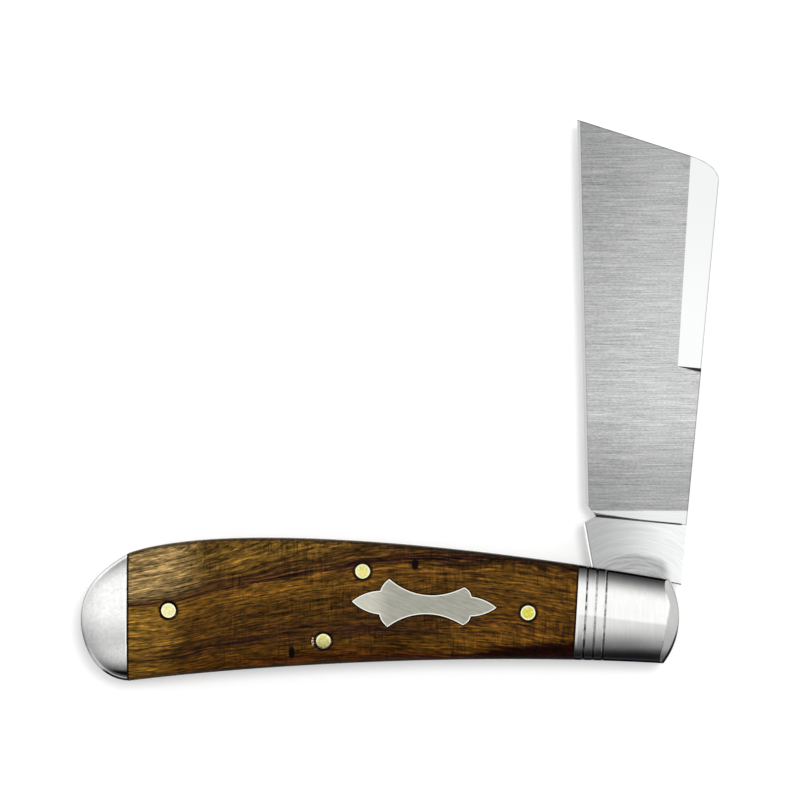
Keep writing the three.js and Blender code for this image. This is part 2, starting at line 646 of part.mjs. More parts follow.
function makeFrontBolster(side) {
  const body = shell.intersect(slab(side.cover)).intersect(beyond(along(frontJoint, OF_FRONT, JOINT_GAP / 2), OF_FRONT));
  const grooves = Array.from({ length: GROOVE_COUNT }, (_, i) => {
    const middle = along(frontJoint, OF_FRONT, FIRST_GROOVE + i * GROOVE_PITCH);
    const left = beyond(along(middle, OF_FRONT, -GROOVE_WIDTH / 2), OF_FRONT);
    return left.intersect(beyond(along(middle, OF_FRONT, GROOVE_WIDTH / 2), OF_FRONT + 180)).subtract(grooveFloor);
  });
  const grooved = grooves.reduce((left, groove) => left.subtract(groove), body);
  const pinned = drilled(grooved, { pivot_pin: THROUGH_PINS.pivot_pin });
  return drilled(pinned, BOLSTER_RIVETS, RIVET_FACETS);
}

function makeRearBolster(side) {
  const body = shell.intersect(slab(side.cover)).intersect(beyond(along(rearJoint, 0, -JOINT_GAP / 2), 180));
  return drilled(body, BOLSTER_RIVETS, RIVET_FACETS);
}

// A pin finished flush with the crown, over the given heights
function flushPin({ at, radius }, heights, facets = PIN_FACETS) {
  return shell.intersect(rod(at, radius, heights, facets));
}

// Colours
const bladeSteel = { color: 0xc4c7ca, metalness: 1, roughness: 0.34 };
const springSteel = { color: 0xb4b7ba, metalness: 1, roughness: 0.32 };
const nickelSilver = { color: 0xc9c8c2, metalness: 1, roughness: 0.26 };
const brass = { color: 0xd9c46a, metalness: 1, roughness: 0.3 };
const linerBrass = { color: 0xc2a152, metalness: 1, roughness: 0.36 };
const darkWood = { color: 0x5a3418, metalness: 0, roughness: 0.45 };

const knife = new THREE.Group();

function addPart(parent, name, body, finish) {
  const made = body.getMesh();
  const geometry = new THREE.BufferGeometry();
  geometry.setAttribute('position', new THREE.BufferAttribute(made.vertProperties, 3));
  geometry.setIndex(new THREE.BufferAttribute(made.triVerts, 1));
  geometry.computeVertexNormals();
  const mesh = new THREE.Mesh(geometry, new THREE.MeshStandardMaterial(finish));
  mesh.name = name;
  parent.add(mesh);
}

const handle = new THREE.Group();
const bladeGroup = new THREE.Group();
knife.add(handle, bladeGroup);

addPart(bladeGroup, 'blade', makeBlade(), bladeSteel);
addPart(handle, 'backspring', makeBackspring(), springSteel);

for (const [sideName, side] of Object.entries(SIDES)) {
  const cover = makeCover(side);
  const outward = side.cover[0] === 0 ? [0, WELL_LOW] : [WELL_HIGH, TOTAL_THICKNESS];
  addPart(handle, `liner_${sideName}`, makeLiner(side), linerBrass);
  addPart(handle, `cover_${sideName}`, sideName === 'mark' ? inletForShield(cover) : cover, darkWood);
  addPart(handle, `front_bolster_${sideName}`, makeFrontBolster(side), nickelSilver);
  addPart(handle, `rear_bolster_${sideName}`, makeRearBolster(side), nickelSilver);
  for (const [name, pin] of Object.entries(COVER_PINS)) {
    addPart(handle, `${name}_${sideName}`, flushPin(pin, outward), brass);
  }
  for (const [name, rivet] of Object.entries(BOLSTER_RIVETS)) {
    addPart(handle, `${name}_${sideName}`, flushPin(rivet, outward, RIVET_FACETS), nickelSilver);
  }
}

for (const [name, pin] of Object.entries(THROUGH_PINS)) {
  const finish = name === 'pivot_pin' ? nickelSilver : brass;
  addPart(handle, name, flushPin(pin, FULL_HEIGHT), finish);
}

const shieldStock = plate(SHIELD_OUTLINE, [SHIELD_FLOOR, TOTAL_THICKNESS]);
addPart(handle, 'shield', shell.intersect(shieldStock), nickelSilver);
for (const [name, { at, radius }] of Object.entries(SHIELD_RIVETS)) {
  const body = rod(at, radius, [SIDES.mark.cover[0], SHIELD_FLOOR], RIVET_FACETS);
  addPart(handle, name, body, nickelSilver);
}

export default knife;
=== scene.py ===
# %% [markdown]
# # A folding pocket knife, half open
#
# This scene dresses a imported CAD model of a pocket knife. The CAD model is the fixed frame: it says where
# every piece is, how large it is, and what it moves with. Blender adds what the eye looks for: softly
# crowned wood, polished bolsters, a ground and brushed blade, and a light that shows them.
#
# Read it from the top. Each step first says what the real piece is, how it could be made in Blender and
# why this way was chosen. The cells after it make it, and print what they made.

import json
import math
from contextlib import contextmanager

import bmesh
import bpy
from mathutils import Matrix, Vector

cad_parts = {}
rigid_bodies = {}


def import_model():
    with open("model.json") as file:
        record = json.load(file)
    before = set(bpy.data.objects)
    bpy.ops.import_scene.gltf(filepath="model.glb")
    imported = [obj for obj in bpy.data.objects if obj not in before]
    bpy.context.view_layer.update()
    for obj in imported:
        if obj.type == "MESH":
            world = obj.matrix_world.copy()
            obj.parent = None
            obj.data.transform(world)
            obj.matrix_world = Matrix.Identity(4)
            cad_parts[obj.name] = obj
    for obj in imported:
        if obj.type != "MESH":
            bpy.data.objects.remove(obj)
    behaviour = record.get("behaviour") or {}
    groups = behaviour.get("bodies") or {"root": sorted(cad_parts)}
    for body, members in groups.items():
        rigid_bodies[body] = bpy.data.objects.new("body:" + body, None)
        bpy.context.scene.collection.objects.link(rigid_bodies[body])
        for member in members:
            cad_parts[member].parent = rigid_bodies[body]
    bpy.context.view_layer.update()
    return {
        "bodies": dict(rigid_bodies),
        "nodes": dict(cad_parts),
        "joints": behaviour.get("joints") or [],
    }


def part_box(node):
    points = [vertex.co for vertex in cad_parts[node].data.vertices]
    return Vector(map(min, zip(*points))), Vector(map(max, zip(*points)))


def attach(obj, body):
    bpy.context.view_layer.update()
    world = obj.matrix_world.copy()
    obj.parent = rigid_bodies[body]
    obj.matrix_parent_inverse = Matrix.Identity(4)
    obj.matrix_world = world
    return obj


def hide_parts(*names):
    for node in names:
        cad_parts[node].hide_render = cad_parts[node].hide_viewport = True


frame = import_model()
nodes = frame["nodes"]
print(len(nodes), "CAD nodes, on the bodies", sorted(frame["bodies"]))

# %% [markdown]
# ## Units and heights
#
# The frame is in metres, and a knife is small. Blender's modelling tools are happiest when a piece is
# some units across, because their own tolerances are set for that. So each piece is modelled with one
# unit for a millimetre, and is shrunk into the frame as its last step. The heights of the layers are read
# from the CAD nodes, so that the new pieces can't drift away from them.

# %% Heights of the layers, in millimetres
MM = 0.001


def box_mm(node):
    """A CAD node's lowest and highest corner, in millimetres."""
    low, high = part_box(node)
    return low / MM, high / MM


COVER_LOW, COVER_HIGH = (corner.z for corner in box_mm("cover_mark"))
LINER_LOW = box_mm("liner_mark")[0].z
BLADE_LOW, BLADE_HIGH = (corner.z for corner in box_mm("blade"))
MIDDLE_Z = (BLADE_LOW + BLADE_HIGH) / 2
COVER_THICKNESS = COVER_HIGH - COVER_LOW
BUTT_X = box_mm("liner_mark")[0].x
NOSE_X = box_mm("liner_mark")[1].x
print(f"handle {NOSE_X - BUTT_X:.1f} mm long and {COVER_HIGH:.1f} thick")

# %% [markdown]
# ## Working like a hand in Blender
#
# Every operator works on what is selected, and the loaded CAD nodes start out selected. So the first two
# helpers leave one object alone in the selection, an old one or one that is just added. The next opens
# edit mode and closes it again, and the fourth selects just the vertices, edges or faces that pass a
# test, by their place or their normal. A modifier is added and applied in one go, which keeps the stack
# empty and the mesh final.

# %% Selecting, editing and modifying
SELECT_MODES = {"verts": "VERT", "edges": "EDGE", "faces": "FACE"}
CLOSE = 0.01


def alone(piece):
    """Makes one object the whole selection, and the active one."""
    bpy.ops.object.select_all(action="DESELECT")
    piece.select_set(True)
    bpy.context.view_layer.objects.active = piece
    return piece


def added(operator, **settings):
    """Runs an operator that adds an object, and returns that object."""
    bpy.ops.object.select_all(action="DESELECT")
    operator(**settings)
    return bpy.context.object


@contextmanager
def editing(piece):
    """Edit mode for the lines inside the with block, with everything selected at first."""
    alone(piece)
    bpy.ops.object.mode_set(mode="EDIT")
    bpy.ops.mesh.select_all(action="SELECT")
    yield
    bpy.ops.object.mode_set(mode="OBJECT")


def pick(piece, kind, test):
    """In edit mode, selects the verts, edges or faces that pass a test, and nothing else."""
    bpy.ops.mesh.select_mode(type=SELECT_MODES[kind])
    bpy.ops.mesh.select_all(action="DESELECT")
    mesh = bmesh.from_edit_mesh(piece.data)
    for element in getattr(mesh, kind):
        if test(element):
            element.select_set(True)
    mesh.select_flush_mode()
    bmesh.update_edit_mesh(piece.data)


def modify(piece, kind, **settings):
    """Adds a modifier with its settings, and applies it at once."""
    alone(piece)
    bpy.ops.object.modifier_add(type=kind)
    modifier = piece.modifiers[-1]
    for name, value in settings.items():
        setattr(modifier, name, value)
    bpy.ops.object.modifier_apply(modifier=modifier.name)
    return piece


def combine(piece, tool, operation="DIFFERENCE"):
    """Cuts the piece with a tool, keeps what both share or joins them, and throws the tool away."""
    modify(piece, "BOOLEAN", object=tool, operation=operation, solver="EXACT")
    bpy.data.objects.remove(tool)
    return piece


def twin_of(piece, name):
    """A copy of a piece, with a mesh of its own."""
    alone(piece)
    bpy.ops.object.duplicate()
    twin = bpy.context.object
    twin.name = name
    return twin


def placed(piece):
    """Moves an object's place, turn and size into its mesh."""
    alone(piece)
    bpy.ops.object.transform_apply(location=True, rotation=True, scale=True)
    return piece


# %% [markdown]
# ## Drawing an outline
#
# The knife is cut from flat stock: blade, liners, covers and shield are all outlines with a thickness. A
# Bezier curve is the natural tool for such an outline, because it needs a knot only where the line
# changes its character. The curve is turned into a mesh, filled with one face, and extruded. A knot is a
# place with two handles. A handle is given as a step from that place, and None stands for a straight
# side.

# %% Outlines from knots, and plates from outlines
SAME_KNOT = 0.0005


def heading(degrees):
    """A step of one millimetre, at an angle from the x axis."""
    return Vector((math.cos(math.radians(degrees)), math.sin(math.radians(degrees))))


def way_of(step):
    """The angle of a step from the x axis, in degrees."""
    return math.degrees(math.atan2(step.y, step.x))


def drawn(name, knots, steps=12):
    """One flat face inside a closed outline. A knot is its place, its handle in and its handle out."""
    curve = added(bpy.ops.curve.primitive_bezier_curve_add)
    curve.name = name
    spline = curve.data.splines[0]
    spline.bezier_points.add(len(knots) - len(spline.bezier_points))
    spline.use_cyclic_u = True
    spline.resolution_u = steps
    for point, (place, *handles) in zip(spline.bezier_points, knots):
        point.co = place.to_3d()
        for side, handle in zip(("left", "right"), handles):
            setattr(point, f"handle_{side}_type", "FREE" if handle else "VECTOR")
            setattr(point, f"handle_{side}", (place + (handle or Vector((0, 0)))).to_3d())
    bpy.ops.object.convert(target="MESH")
    outline = bpy.context.object
    with editing(outline):
        bpy.ops.mesh.remove_doubles(threshold=SAME_KNOT)
        bpy.ops.mesh.edge_face_add()
    return outline


def thickened(outline, low, high):
    """Raises a flat face to one height and extrudes it to another."""
    rise = {"value": (0, 0, high - low)}
    with editing(outline):
        bpy.ops.transform.translate(value=(0, 0, low))
        bpy.ops.mesh.extrude_region_move(TRANSFORM_OT_translate=rise)
        bpy.ops.mesh.select_all(action="SELECT")
        bpy.ops.mesh.normals_make_consistent(inside=False)
    return outline


def rod(at, radius, low, high, sides=72):
    """A round bar that stands at a place, from one height to another."""
    cylinder = bpy.ops.mesh.primitive_cylinder_add
    place = (at.x, at.y, (low + high) / 2)
    return placed(added(cylinder, vertices=sides, radius=radius, depth=high - low, location=place))


# %% [markdown]
# ## Shader maths that reads as maths
#
# A procedural finish is a web of small nodes. Written out one by one, its idea is hard to see. So a small
# class wraps a node's socket and teaches it Python's operators: `1 - mask * 0.5` then adds two Math
# nodes. Every other node comes from one method, which takes the node's type, its settings and what goes
# into its sockets.

# %% A socket that understands operators, and a finish that holds the nodes
class Value:
    """A node's output, with operators that add Math nodes."""

    def __init__(self, finish, socket):
        self.finish = finish
        self.socket = socket

    def __getitem__(self, name):
        """Another output of the same node."""
        return Value(self.finish, self.socket.node.outputs[name])

    def maths(self, operation, *terms):
        """A Math node that does one operation on its terms."""
        return self.finish.node("ShaderNodeMath", {"operation": operation}, dict(enumerate(terms)))

    def __add__(self, other):
        return self.maths("ADD", self, other)

    __radd__ = __add__

    def __sub__(self, other):
        return self.maths("SUBTRACT", self, other)

    def __rsub__(self, other):
        return self.maths("SUBTRACT", other, self)

    def __mul__(self, other):
        return self.maths("MULTIPLY", self, other)

    __rmul__ = __mul__

    def __truediv__(self, other):
        return self.maths("DIVIDE", self, other)

    def __pow__(self, other):
        return self.maths("POWER", self, other)

    def __abs__(self):
        return self.maths("ABSOLUTE", self)

    def or_more(self, other):
        """The larger of two values. For masks, the places that are in either."""
        return self.maths("MAXIMUM", self, other)

    def or_less(self, other):
        """The smaller of two values, such as the distance to the nearer of two places."""
        return self.maths("MINIMUM", self, other)

    def rises(self, start, end):
        """A soft step: 0 before start, 1 after end."""
        settings = {"interpolation_type": "SMOOTHSTEP"}
        sockets = {"Value": self, "From Min": start, "From Max": end, "To Min": 0.0, "To Max": 1.0}
        if start > end:
            sockets.update({"From Min": end, "From Max": start, "To Min": 1.0, "To Max": 0.0})
        return self.finish.node("ShaderNodeMapRange", settings, sockets)

    def falls(self, start, end, depth):
        """A factor that goes from 1 at the start down to 1 minus the depth at the end."""
        return 1 - self.rises(start, end) * depth

    def towards(self, goal, share):
        """Goes from this value to a goal as the share goes from 0 to 1."""
        return self + (goal - self) * share


def screen(red, green, blue):
    """A colour as a screen shows it, from 0 to 255, in the linear values that nodes use."""
    def linear(share):
        return share / 12.92 if share <= 0.04045 else ((share + 0.055) / 1.055) ** 2.4
    return (*(linear(part / 255) for part in (red, green, blue)), 1.0)


class Finish:
    """The node tree of one material or of the world."""

    def __init__(self, name, owner=None):
        self.owner = owner or bpy.data.materials.new(name)
        self.owner.use_nodes = True
        self.tree = self.owner.node_tree
        self.tree.nodes.clear()

    def node(self, kind, settings=None, sockets=None):
        """Adds a node. What goes into a socket is another value, which is linked, or a constant."""
        node = self.tree.nodes.new(kind)
        for name, value in (settings or {}).items():
            if name == "stops":
                self.set_stops(node.color_ramp, value)
            else:
                setattr(node, name, value)
        for name, value in (sockets or {}).items():
            fits = [s for i, s in enumerate(node.inputs) if name in (i, s.name) and s.enabled]
            if isinstance(value, Value):
                self.tree.links.new(value.socket, fits[0])
            else:
                fits[0].default_value = value
        outputs = [socket for socket in node.outputs if socket.enabled]
        return Value(self, outputs[0]) if outputs else None

    def set_stops(self, ramp, stops):
        """Gives a colour ramp its stops, each a place from 0 to 1 and a colour."""
        while len(ramp.elements) < len(stops):
            ramp.elements.new(1.0)
        for element, (place, colour) in zip(ramp.elements, stops):
            element.position = place
            element.color = colour

    def mix(self, share, first, second):
        """Goes from the first colour to the second as the share goes from 0 to 1."""
        settings = {"data_type": "RGBA"}
        return self.node("ShaderNodeMix", settings, {"Factor": share, "A": first, "B": second})

    def shaded(self, colour, value):
        """A colour made darker or lighter by a value."""
        settings = {"data_type": "RGBA", "blend_type": "MULTIPLY"}
        grey = self.node("ShaderNodeCombineColor", None, {"Red": value, "Green": value, "Blue": value})
        return self.node("ShaderNodeMix", settings, {"Factor": 1.0, "A": colour, "B": grey})

    def place(self):
        """The place on the piece along x, y and z, in millimetres."""
        metres = self.node("ShaderNodeTexCoord")["Object"]
        scale = {0: metres, 1: (1 / MM, 1 / MM, 1 / MM)}
        parts = self.node("ShaderNodeVectorMath", {"operation": "MULTIPLY"}, scale)
        split = self.node("ShaderNodeSeparateXYZ", None, {"Vector": parts})
        return split["X"], split["Y"], split["Z"]

    def noise(self, x, y, z, detail=2.0, roughness=0.5):
        """Cloudy noise around 0.5, at a place whose parts are already scaled."""
        vector = self.node("ShaderNodeCombineXYZ", None, {"X": x, "Y": y, "Z": z})
        sockets = {"Vector": vector, "Scale": 1.0, "Detail": detail, "Roughness": roughness}
        return self.node("ShaderNodeTexNoise", None, sockets)

    def surface(self, constants, linked):
        """A Principled surface. Its constants sit on the shader's own sockets."""
        shader = self.node("ShaderNodeBsdfPrincipled", None, {**constants, **linked})
        self.node("ShaderNodeOutputMaterial", None, {"Surface": shader})
        return self.owner

    def bump(self, height, distance):
        """A bump that treats a height of 1 as the given distance, in millimetres."""
        sockets = {"Height": height, "Distance": distance * MM, "Strength": 1.0}
        return self.node("ShaderNodeBump", None, sockets)


def crisp(noise, start, end, dark, light):
    """Makes noise crisp: dark where it is well above its middle, and minus light where it is well below."""
    return noise.rises(0.5 + start, 0.5 + end) * dark - noise.rises(0.5 - start, 0.5 - end) * light


print("white on screen is", [round(part, 2) for part in screen(255, 255, 255)])

# %% [markdown]
# ## Putting a piece into the frame
#
# A finished piece is shrunk from millimetres to metres, shaded smooth wherever its faces meet at a small
# angle, given its material and put on the body it moves with, and the CAD nodes that it replaces are
# hidden. Weighted normals keep a broad flat face flat where a crown runs into it.

# %% The last step of every piece
def finished(piece, name, body, material, replaced, smooth_below=24):
    """Takes a modelled piece from millimetres into the frame, under its name."""
    alone(piece)
    piece.name = name
    piece.data.name = name
    piece.scale = (MM, MM, MM)
    placed(piece)
    bpy.ops.object.shade_smooth_by_angle(angle=math.radians(smooth_below))
    modify(piece, "WEIGHTED_NORMAL", keep_sharp=True)
    if not piece.data.materials:
        piece.data.materials.append(material)
    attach(piece, body)
    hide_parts(*replaced)
    print(f"{name}: {len(piece.data.polygons)} faces")
    return piece


# %% [markdown]
# ## Camera
#
# The photograph looks straight down on the knife from far away, so nothing of the handle's sides shows. A
# long lens high above gives that view. Its height is worked out from the width that the picture takes in,
# measured at the height of the handle's upper side.

# %% A long lens, straight above
PICTURE_WIDTH = 131.73
PICTURE_MIDDLE = Vector((-38.37, 35.73))
FOCUS_HEIGHT = 8.0
LENS = 400.0
SENSOR = 36.0
CLIP_NEAR = 0.01
CLIP_FAR = 20.0

camera_height = FOCUS_HEIGHT + PICTURE_WIDTH * LENS / SENSOR
camera_place = Vector((*PICTURE_MIDDLE, camera_height)) * MM
camera = added(bpy.ops.object.camera_add, location=camera_place)
camera.data.lens = LENS
camera.data.sensor_width = SENSOR
camera.data.clip_start = CLIP_NEAR
camera.data.clip_end = CLIP_FAR
bpy.context.scene.camera = camera
bpy.context.scene.view_settings.view_transform = "Standard"
print(f"camera {camera_height:.0f} mm above the floor")

# %% [markdown]
# ## Light
#
# Polished metal shows nothing but its surroundings, so the surroundings are the finish. Here the world is
# a studio drawn by direction: a large white softbox overhead, which fades towards the back and fades to
# nearly black towards the front. The bolsters roll over at their edges and show that fall. Low down the
# world is white again, for views from the side, and so is what the camera sees of it.

# %% A studio drawn by direction
SOFTBOX = 1.06
FRONT_FALL = 0.92
FRONT_FADE = (0.05, 0.85)
BACK_FALL = 0.72
BACK_FADE = (0.3, 0.95)
HORIZON_LEVEL = 0.9
HORIZON_FADE = (0.12, 0.02)

world = bpy.data.worlds.new("studio")
bpy.context.scene.world = world
studio = Finish("studio", world)
generated = studio.node("ShaderNodeTexCoord")["Generated"]
direction = studio.node("ShaderNodeSeparateXYZ", None, {"Vector": generated})
back, up = direction["Y"], direction["Z"]
front = -1.0 * back
softbox = SOFTBOX * front.falls(*FRONT_FADE, FRONT_FALL) * back.falls(*BACK_FADE, BACK_FALL)
horizon = up.rises(*HORIZON_FADE)
level = softbox.towards(HORIZON_LEVEL, horizon)
seen = studio.node("ShaderNodeLightPath")["Is Camera Ray"]
level = level.towards(1, seen)
background = {"Color": studio.shaded((1, 1, 1, 1), level), "Strength": 1.0}
sky = studio.node("ShaderNodeBackground", None, background)
studio.node("ShaderNodeOutputWorld", None, {"Surface": sky})
print(f"softbox of {SOFTBOX} overhead, {SOFTBOX * (1 - FRONT_FALL):.2f} towards the front")

# %% [markdown]
# The photograph has a narrow, soft shadow to the left of the blade and below the handle. So one lamp
# stands nearly overhead, a little to the back and to the right. It is a sun, whose rays are parallel, and
# its angle sets how soft the shadow is. Polished metal doesn't show it, as it would be a glaring dot
# there.

# %% A lamp for the shadow
LAMP_LEAN = 8.0
LAMP_ANGLE = 13.0
LAMP_POWER = 1.2

lean = math.radians(LAMP_LEAN)
lamp = added(bpy.ops.object.light_add, type="SUN", location=(0, 0, 1), rotation=(-lean, lean, 0))
lamp.name = "overhead_lamp"
lamp.data.angle = math.radians(LAMP_ANGLE)
lamp.data.energy = LAMP_POWER
lamp.visible_glossy = False
print(f"lamp of {LAMP_POWER}, {LAMP_LEAN:.0f} degrees off the zenith both ways")

# %% [markdown]
# ## Floor
#
# The floor is white paper. A diffuse white never quite reaches white in a picture, and it would take more
# light to lift it, which would burn out the knife. So the floor adds a little light of its own, for the
# camera and for reflections, and still shows the soft shadow.

# %% White paper that keeps the shadow
FLOOR_SIZE = 6.0
PAPER = 0.8
GLOW = 0.3

floor = added(bpy.ops.mesh.primitive_plane_add, size=FLOOR_SIZE)
floor.name = "floor"
paper = Finish("white_paper")
path = paper.node("ShaderNodeLightPath")
mirrored = path["Is Glossy Ray"].or_more(path["Is Transmission Ray"])
seen = path["Is Camera Ray"].or_more(mirrored)
glow = paper.node("ShaderNodeEmission", None, {"Color": (1, 1, 1, 1), "Strength": seen * GLOW})
diffuse = paper.node("ShaderNodeBsdfDiffuse", None, {"Color": (PAPER, PAPER, PAPER, 1)})
both = paper.node("ShaderNodeAddShader", None, {0: diffuse, 1: glow})
paper.node("ShaderNodeOutputMaterial", None, {"Surface": both})
floor.data.materials.append(paper.owner)
print(f"floor {FLOOR_SIZE:.0f} m wide")

# %% [markdown]
# ## The handle's outline
#
# The handle is one long curve: nearly straight past the blade's pivot, swelling towards the butt, and
# closed by a round end. It takes five knots and an arc. Liners and spring use it as it is. Covers and
# bolsters use it with both edges run straight on past the nose, because their crown has to run over the
# nose before that is ground.

# %% Knots of the handle
CAP_LENGTH = 7.84
NOSE_RADIUS = 12.5
NOSE_FACE = 2.0
CROWN_RISE = 2.4
NOSE_TOP_Y = 6.14
NOSE_BOTTOM_Y = -7.6
TOP_NOSE_SLOPE = 169.99
TOP_NOSE_PULL = 29.56
BOTTOM_NOSE_SLOPE = 176.54
BOTTOM_NOSE_PULL = 30.68
EDGE_STEPS = 44
# Each knot: its place from the butt, and the heading and length of its handles in and out.
BUTT_KNOTS = [
    ((CAP_LENGTH, 10.54), (18.42, 17.52), (211.09, 4.07)),
    ((0.0, -0.33), (90.0, 5.98), (-90.0, 3.94)),
    ((CAP_LENGTH, -10.46), (175.18, 5.69), (7.12, 21.2)),
]

nose_centre = Vector((NOSE_X - NOSE_RADIUS, 0))


def on_nose(y):
    """The place at a height y on the circle that the nose is ground to."""
    return Vector((nose_centre.x + math.sqrt(NOSE_RADIUS**2 - y**2), y))


nose_top = on_nose(NOSE_TOP_Y)
nose_bottom = on_nose(NOSE_BOTTOM_Y)
top_way = heading(TOP_NOSE_SLOPE)
bottom_way = heading(BOTTOM_NOSE_SLOPE)
long_edges = [
    (Vector((BUTT_X + x, y)), heading(way_in) * pull_in, heading(way_out) * pull_out)
    for (x, y), (way_in, pull_in), (way_out, pull_out) in BUTT_KNOTS
]
cap_top, cap_bottom = long_edges[0][0], long_edges[-1][0]
print(f"nose from ({nose_top.x:.2f}, {nose_top.y:.2f}) to ({nose_bottom.x:.2f}, {nose_bottom.y:.2f})")

# %% [markdown]
# A circle's arc is drawn by two knots. Their handles are as long as four thirds of the radius, times the
# tangent of a quarter of the arc's angle. The short outline has that arc as its nose, and the long one
# has two far corners instead.

# %% The short and the long outline
def handle_outline(name):
    """The handle with its round nose."""
    low, high = (math.asin(y / NOSE_RADIUS) for y in (NOSE_BOTTOM_Y, NOSE_TOP_Y))
    arc_pull = 4 / 3 * math.tan((high - low) / 4) * NOSE_RADIUS
    into_nose = heading(math.degrees(low) + 90) * arc_pull
    out_of_nose = heading(math.degrees(high) - 90) * arc_pull
    knots = [
        (nose_top, out_of_nose, top_way * TOP_NOSE_PULL),
        *long_edges,
        (nose_bottom, bottom_way * BOTTOM_NOSE_PULL, into_nose),
    ]
    return drawn(name, knots, EDGE_STEPS)


def long_outline(name, run_on):
    """The handle with both edges run on past the nose."""
    knots = [
        (nose_top, None, top_way * TOP_NOSE_PULL),
        *long_edges,
        (nose_bottom, bottom_way * BOTTOM_NOSE_PULL, None),
        (nose_bottom - bottom_way * run_on, None, None),
        (nose_top - top_way * run_on, None, None),
    ]
    return drawn(name, knots, EDGE_STEPS)


# %% [markdown]
# ## Where the pieces meet
#
# The joints between wood and metal, and the pins, are used twice: the meshes are cut there, and the
# finishes get darker there, because oil and polish gather in every seam. So their places come before
# both.

# %% Joints and pins
FRONT_JOINT = Vector((-9.46, 0))
FRONT_LEAN = -3.3
REAR_JOINT_FROM_BUTT = 7.66
JOINT_GAP = 0.1
PIVOT = Vector((0, 0))
PIVOT_PIN_RADIUS = 1.6
PIN_RADIUS = 1.25
RIVET_RADIUS = 0.8
PIN_CLEARANCE = 0.05
HOLE_GAP = 0.2
GROOVE_PLACES = [1.55, 3.15, 4.75]

REAR_JOINT = Vector((BUTT_X + REAR_JOINT_FROM_BUTT, 0))
front_way = heading(FRONT_LEAN)
rearward = Vector((-1, 0))


def middle_of(node):
    """The middle of a CAD node, seen from above."""
    low, high = box_mm(node)
    return ((low + high) / 2).xy


THROUGH_PINS = {name: middle_of(name) for name in ("spring_center_pin", "spring_rear_pin")}
COVER_PINS = {name: middle_of(name + "_mark") for name in ("cover_pin_upper", "cover_pin_front")}
SHIELD_RIVETS = {name: middle_of(name) for name in ("shield_rivet_rear", "shield_rivet_front")}
BRASS_PINS = [*THROUGH_PINS.values(), *COVER_PINS.values()]


def crown_height(z):
    """How high a place stands above the middle of the knife, on either side."""
    return abs(z - MIDDLE_Z)


def seam(x, y, joint, way):
    """How far a place lies from a joint, in millimetres, along the way that leads from it."""
    return (x - joint.x) * way.x + (y - joint.y) * way.y


def from_point(x, y, at):
    """How far a place lies from a point, seen from above."""
    return ((x - at.x) ** 2 + (y - at.y) ** 2) ** 0.5


print("pins at", *(f"({at.x:.1f}, {at.y:.1f})" for at in BRASS_PINS))

# %% [markdown]
# ## Wood for the covers
#
# The covers are oiled hardwood with a lively figure: golden brown with dark purple streaks that rise
# towards the right, a paler patch beside the rear bolster, fine dark pores along the grain, and saw marks
# across it. An image would be the quick way, but it would have to be wrapped over the crown. A solid
# pattern needs no wrapping: the wood's colour is worked out at every place in the block, and the crown
# then cuts through it as a plane does.
#
# The figure follows one idea, the grain's own height: how far a place lies above the line of the main
# streak, which runs through the whole cover as a shallow arch. The grain opens out towards the front, so
# the height is divided by a spread that grows. A colour ramp over that height lays the broad bands,
# narrow streaks are mixed in at their own heights, and noise stretched along the grain breaks them up.

# %% The wood's colours, from the lower edge of the grain to the upper
BANDS = [
    (-16.0, (44, 18, 4)),
    (-11.6, (82, 48, 8)),
    (-9.8, (84, 54, 10)),
    (-7.4, (80, 50, 10)),
    (-5.0, (76, 48, 8)),
    (-3.2, (90, 59, 14)),
    (-1.4, (118, 79, 20)),
    (0.0, (94, 62, 20)),
    (2.0, (102, 72, 24)),
    (5.0, (112, 82, 30)),
    (10.0, (86, 58, 20)),
]
TAN = (156, 128, 80)
HONEY = (152, 112, 40)
STREAK = (38, 11, 11)
RED_STREAK = (60, 18, 6)
CHAR = (22, 2, 0)
KNOT = (8, 3, 3)
BARE_WOOD = (220, 196, 160)
# Oil and dirt in the seams; round the pins it is also a painted shade of the gap.
OILY_DIRT_AND_GAP_SHADE = (10, 4, 2)
print(len(BANDS), "bands, from", BANDS[0][0], "to", BANDS[-1][0])

# %% [markdown]
# The line of the main streak is a parabola: it rises from the rear bolster and levels out towards the
# front, with a small lift at its very start. Two waves of noise keep it from looking drawn. A broad one
# bends all bands together, and a fine one frays their borders.

# %% How high a place lies in the grain
GRAIN_START_X = -83.0
GRAIN_RUN = 73.0
GRAIN_RISE = 25.7
GRAIN_FALL = 18.4
GRAIN_SPREAD = 0.5
GRAIN_LIFT = 1.5
GRAIN_LIFT_RUN = 0.167
GRAIN_LEAN = 0.4
WANDER = 2.4
FRAY = 1.5


def grain_heights(x, y, z):
    """A place's height above the main streak, smooth and frayed."""
    noise = x.finish.noise
    along = (x - GRAIN_START_X) / GRAIN_RUN
    lift = (1 - along / GRAIN_LIFT_RUN).or_more(0.0) ** 2 * GRAIN_LIFT
    streak_line = along * GRAIN_RISE - along * along * GRAIN_FALL + lift
    depth = COVER_HIGH - MIDDLE_Z - crown_height(z)
    wander = (noise(x / 18, y / 5, z / 6) - 0.5) * WANDER
    height = (y - streak_line - depth * GRAIN_LEAN + wander) / (1 + along * GRAIN_SPREAD)
    ragged = height + (noise(x / 5, height * 1.2, z / 2, 3.0, 0.6) - 0.5) * FRAY
    return height, ragged


# %% [markdown]
# The bands come from one colour ramp over the grain's height. Two patches beside the rear bolster are
# paler, and the streaks are mixed over them, each at its own height. Some of them fade out along x, so
# each can have ramps that say where. A dark foot runs along the front's lower edge, on a straight line of
# its own.

# %% Bands, patches and streaks
PALE_ALONG, PALE_ACROSS, PALE_SHARE = (-69.0, -77.0), (0.2, 1.4), 0.9
WARM_ALONG, WARM_ACROSS, WARM_DOWN = (-72.0, -79.5), (0.6, -0.6), (-10.0, -5.0)
WARM_SHARE = 0.3
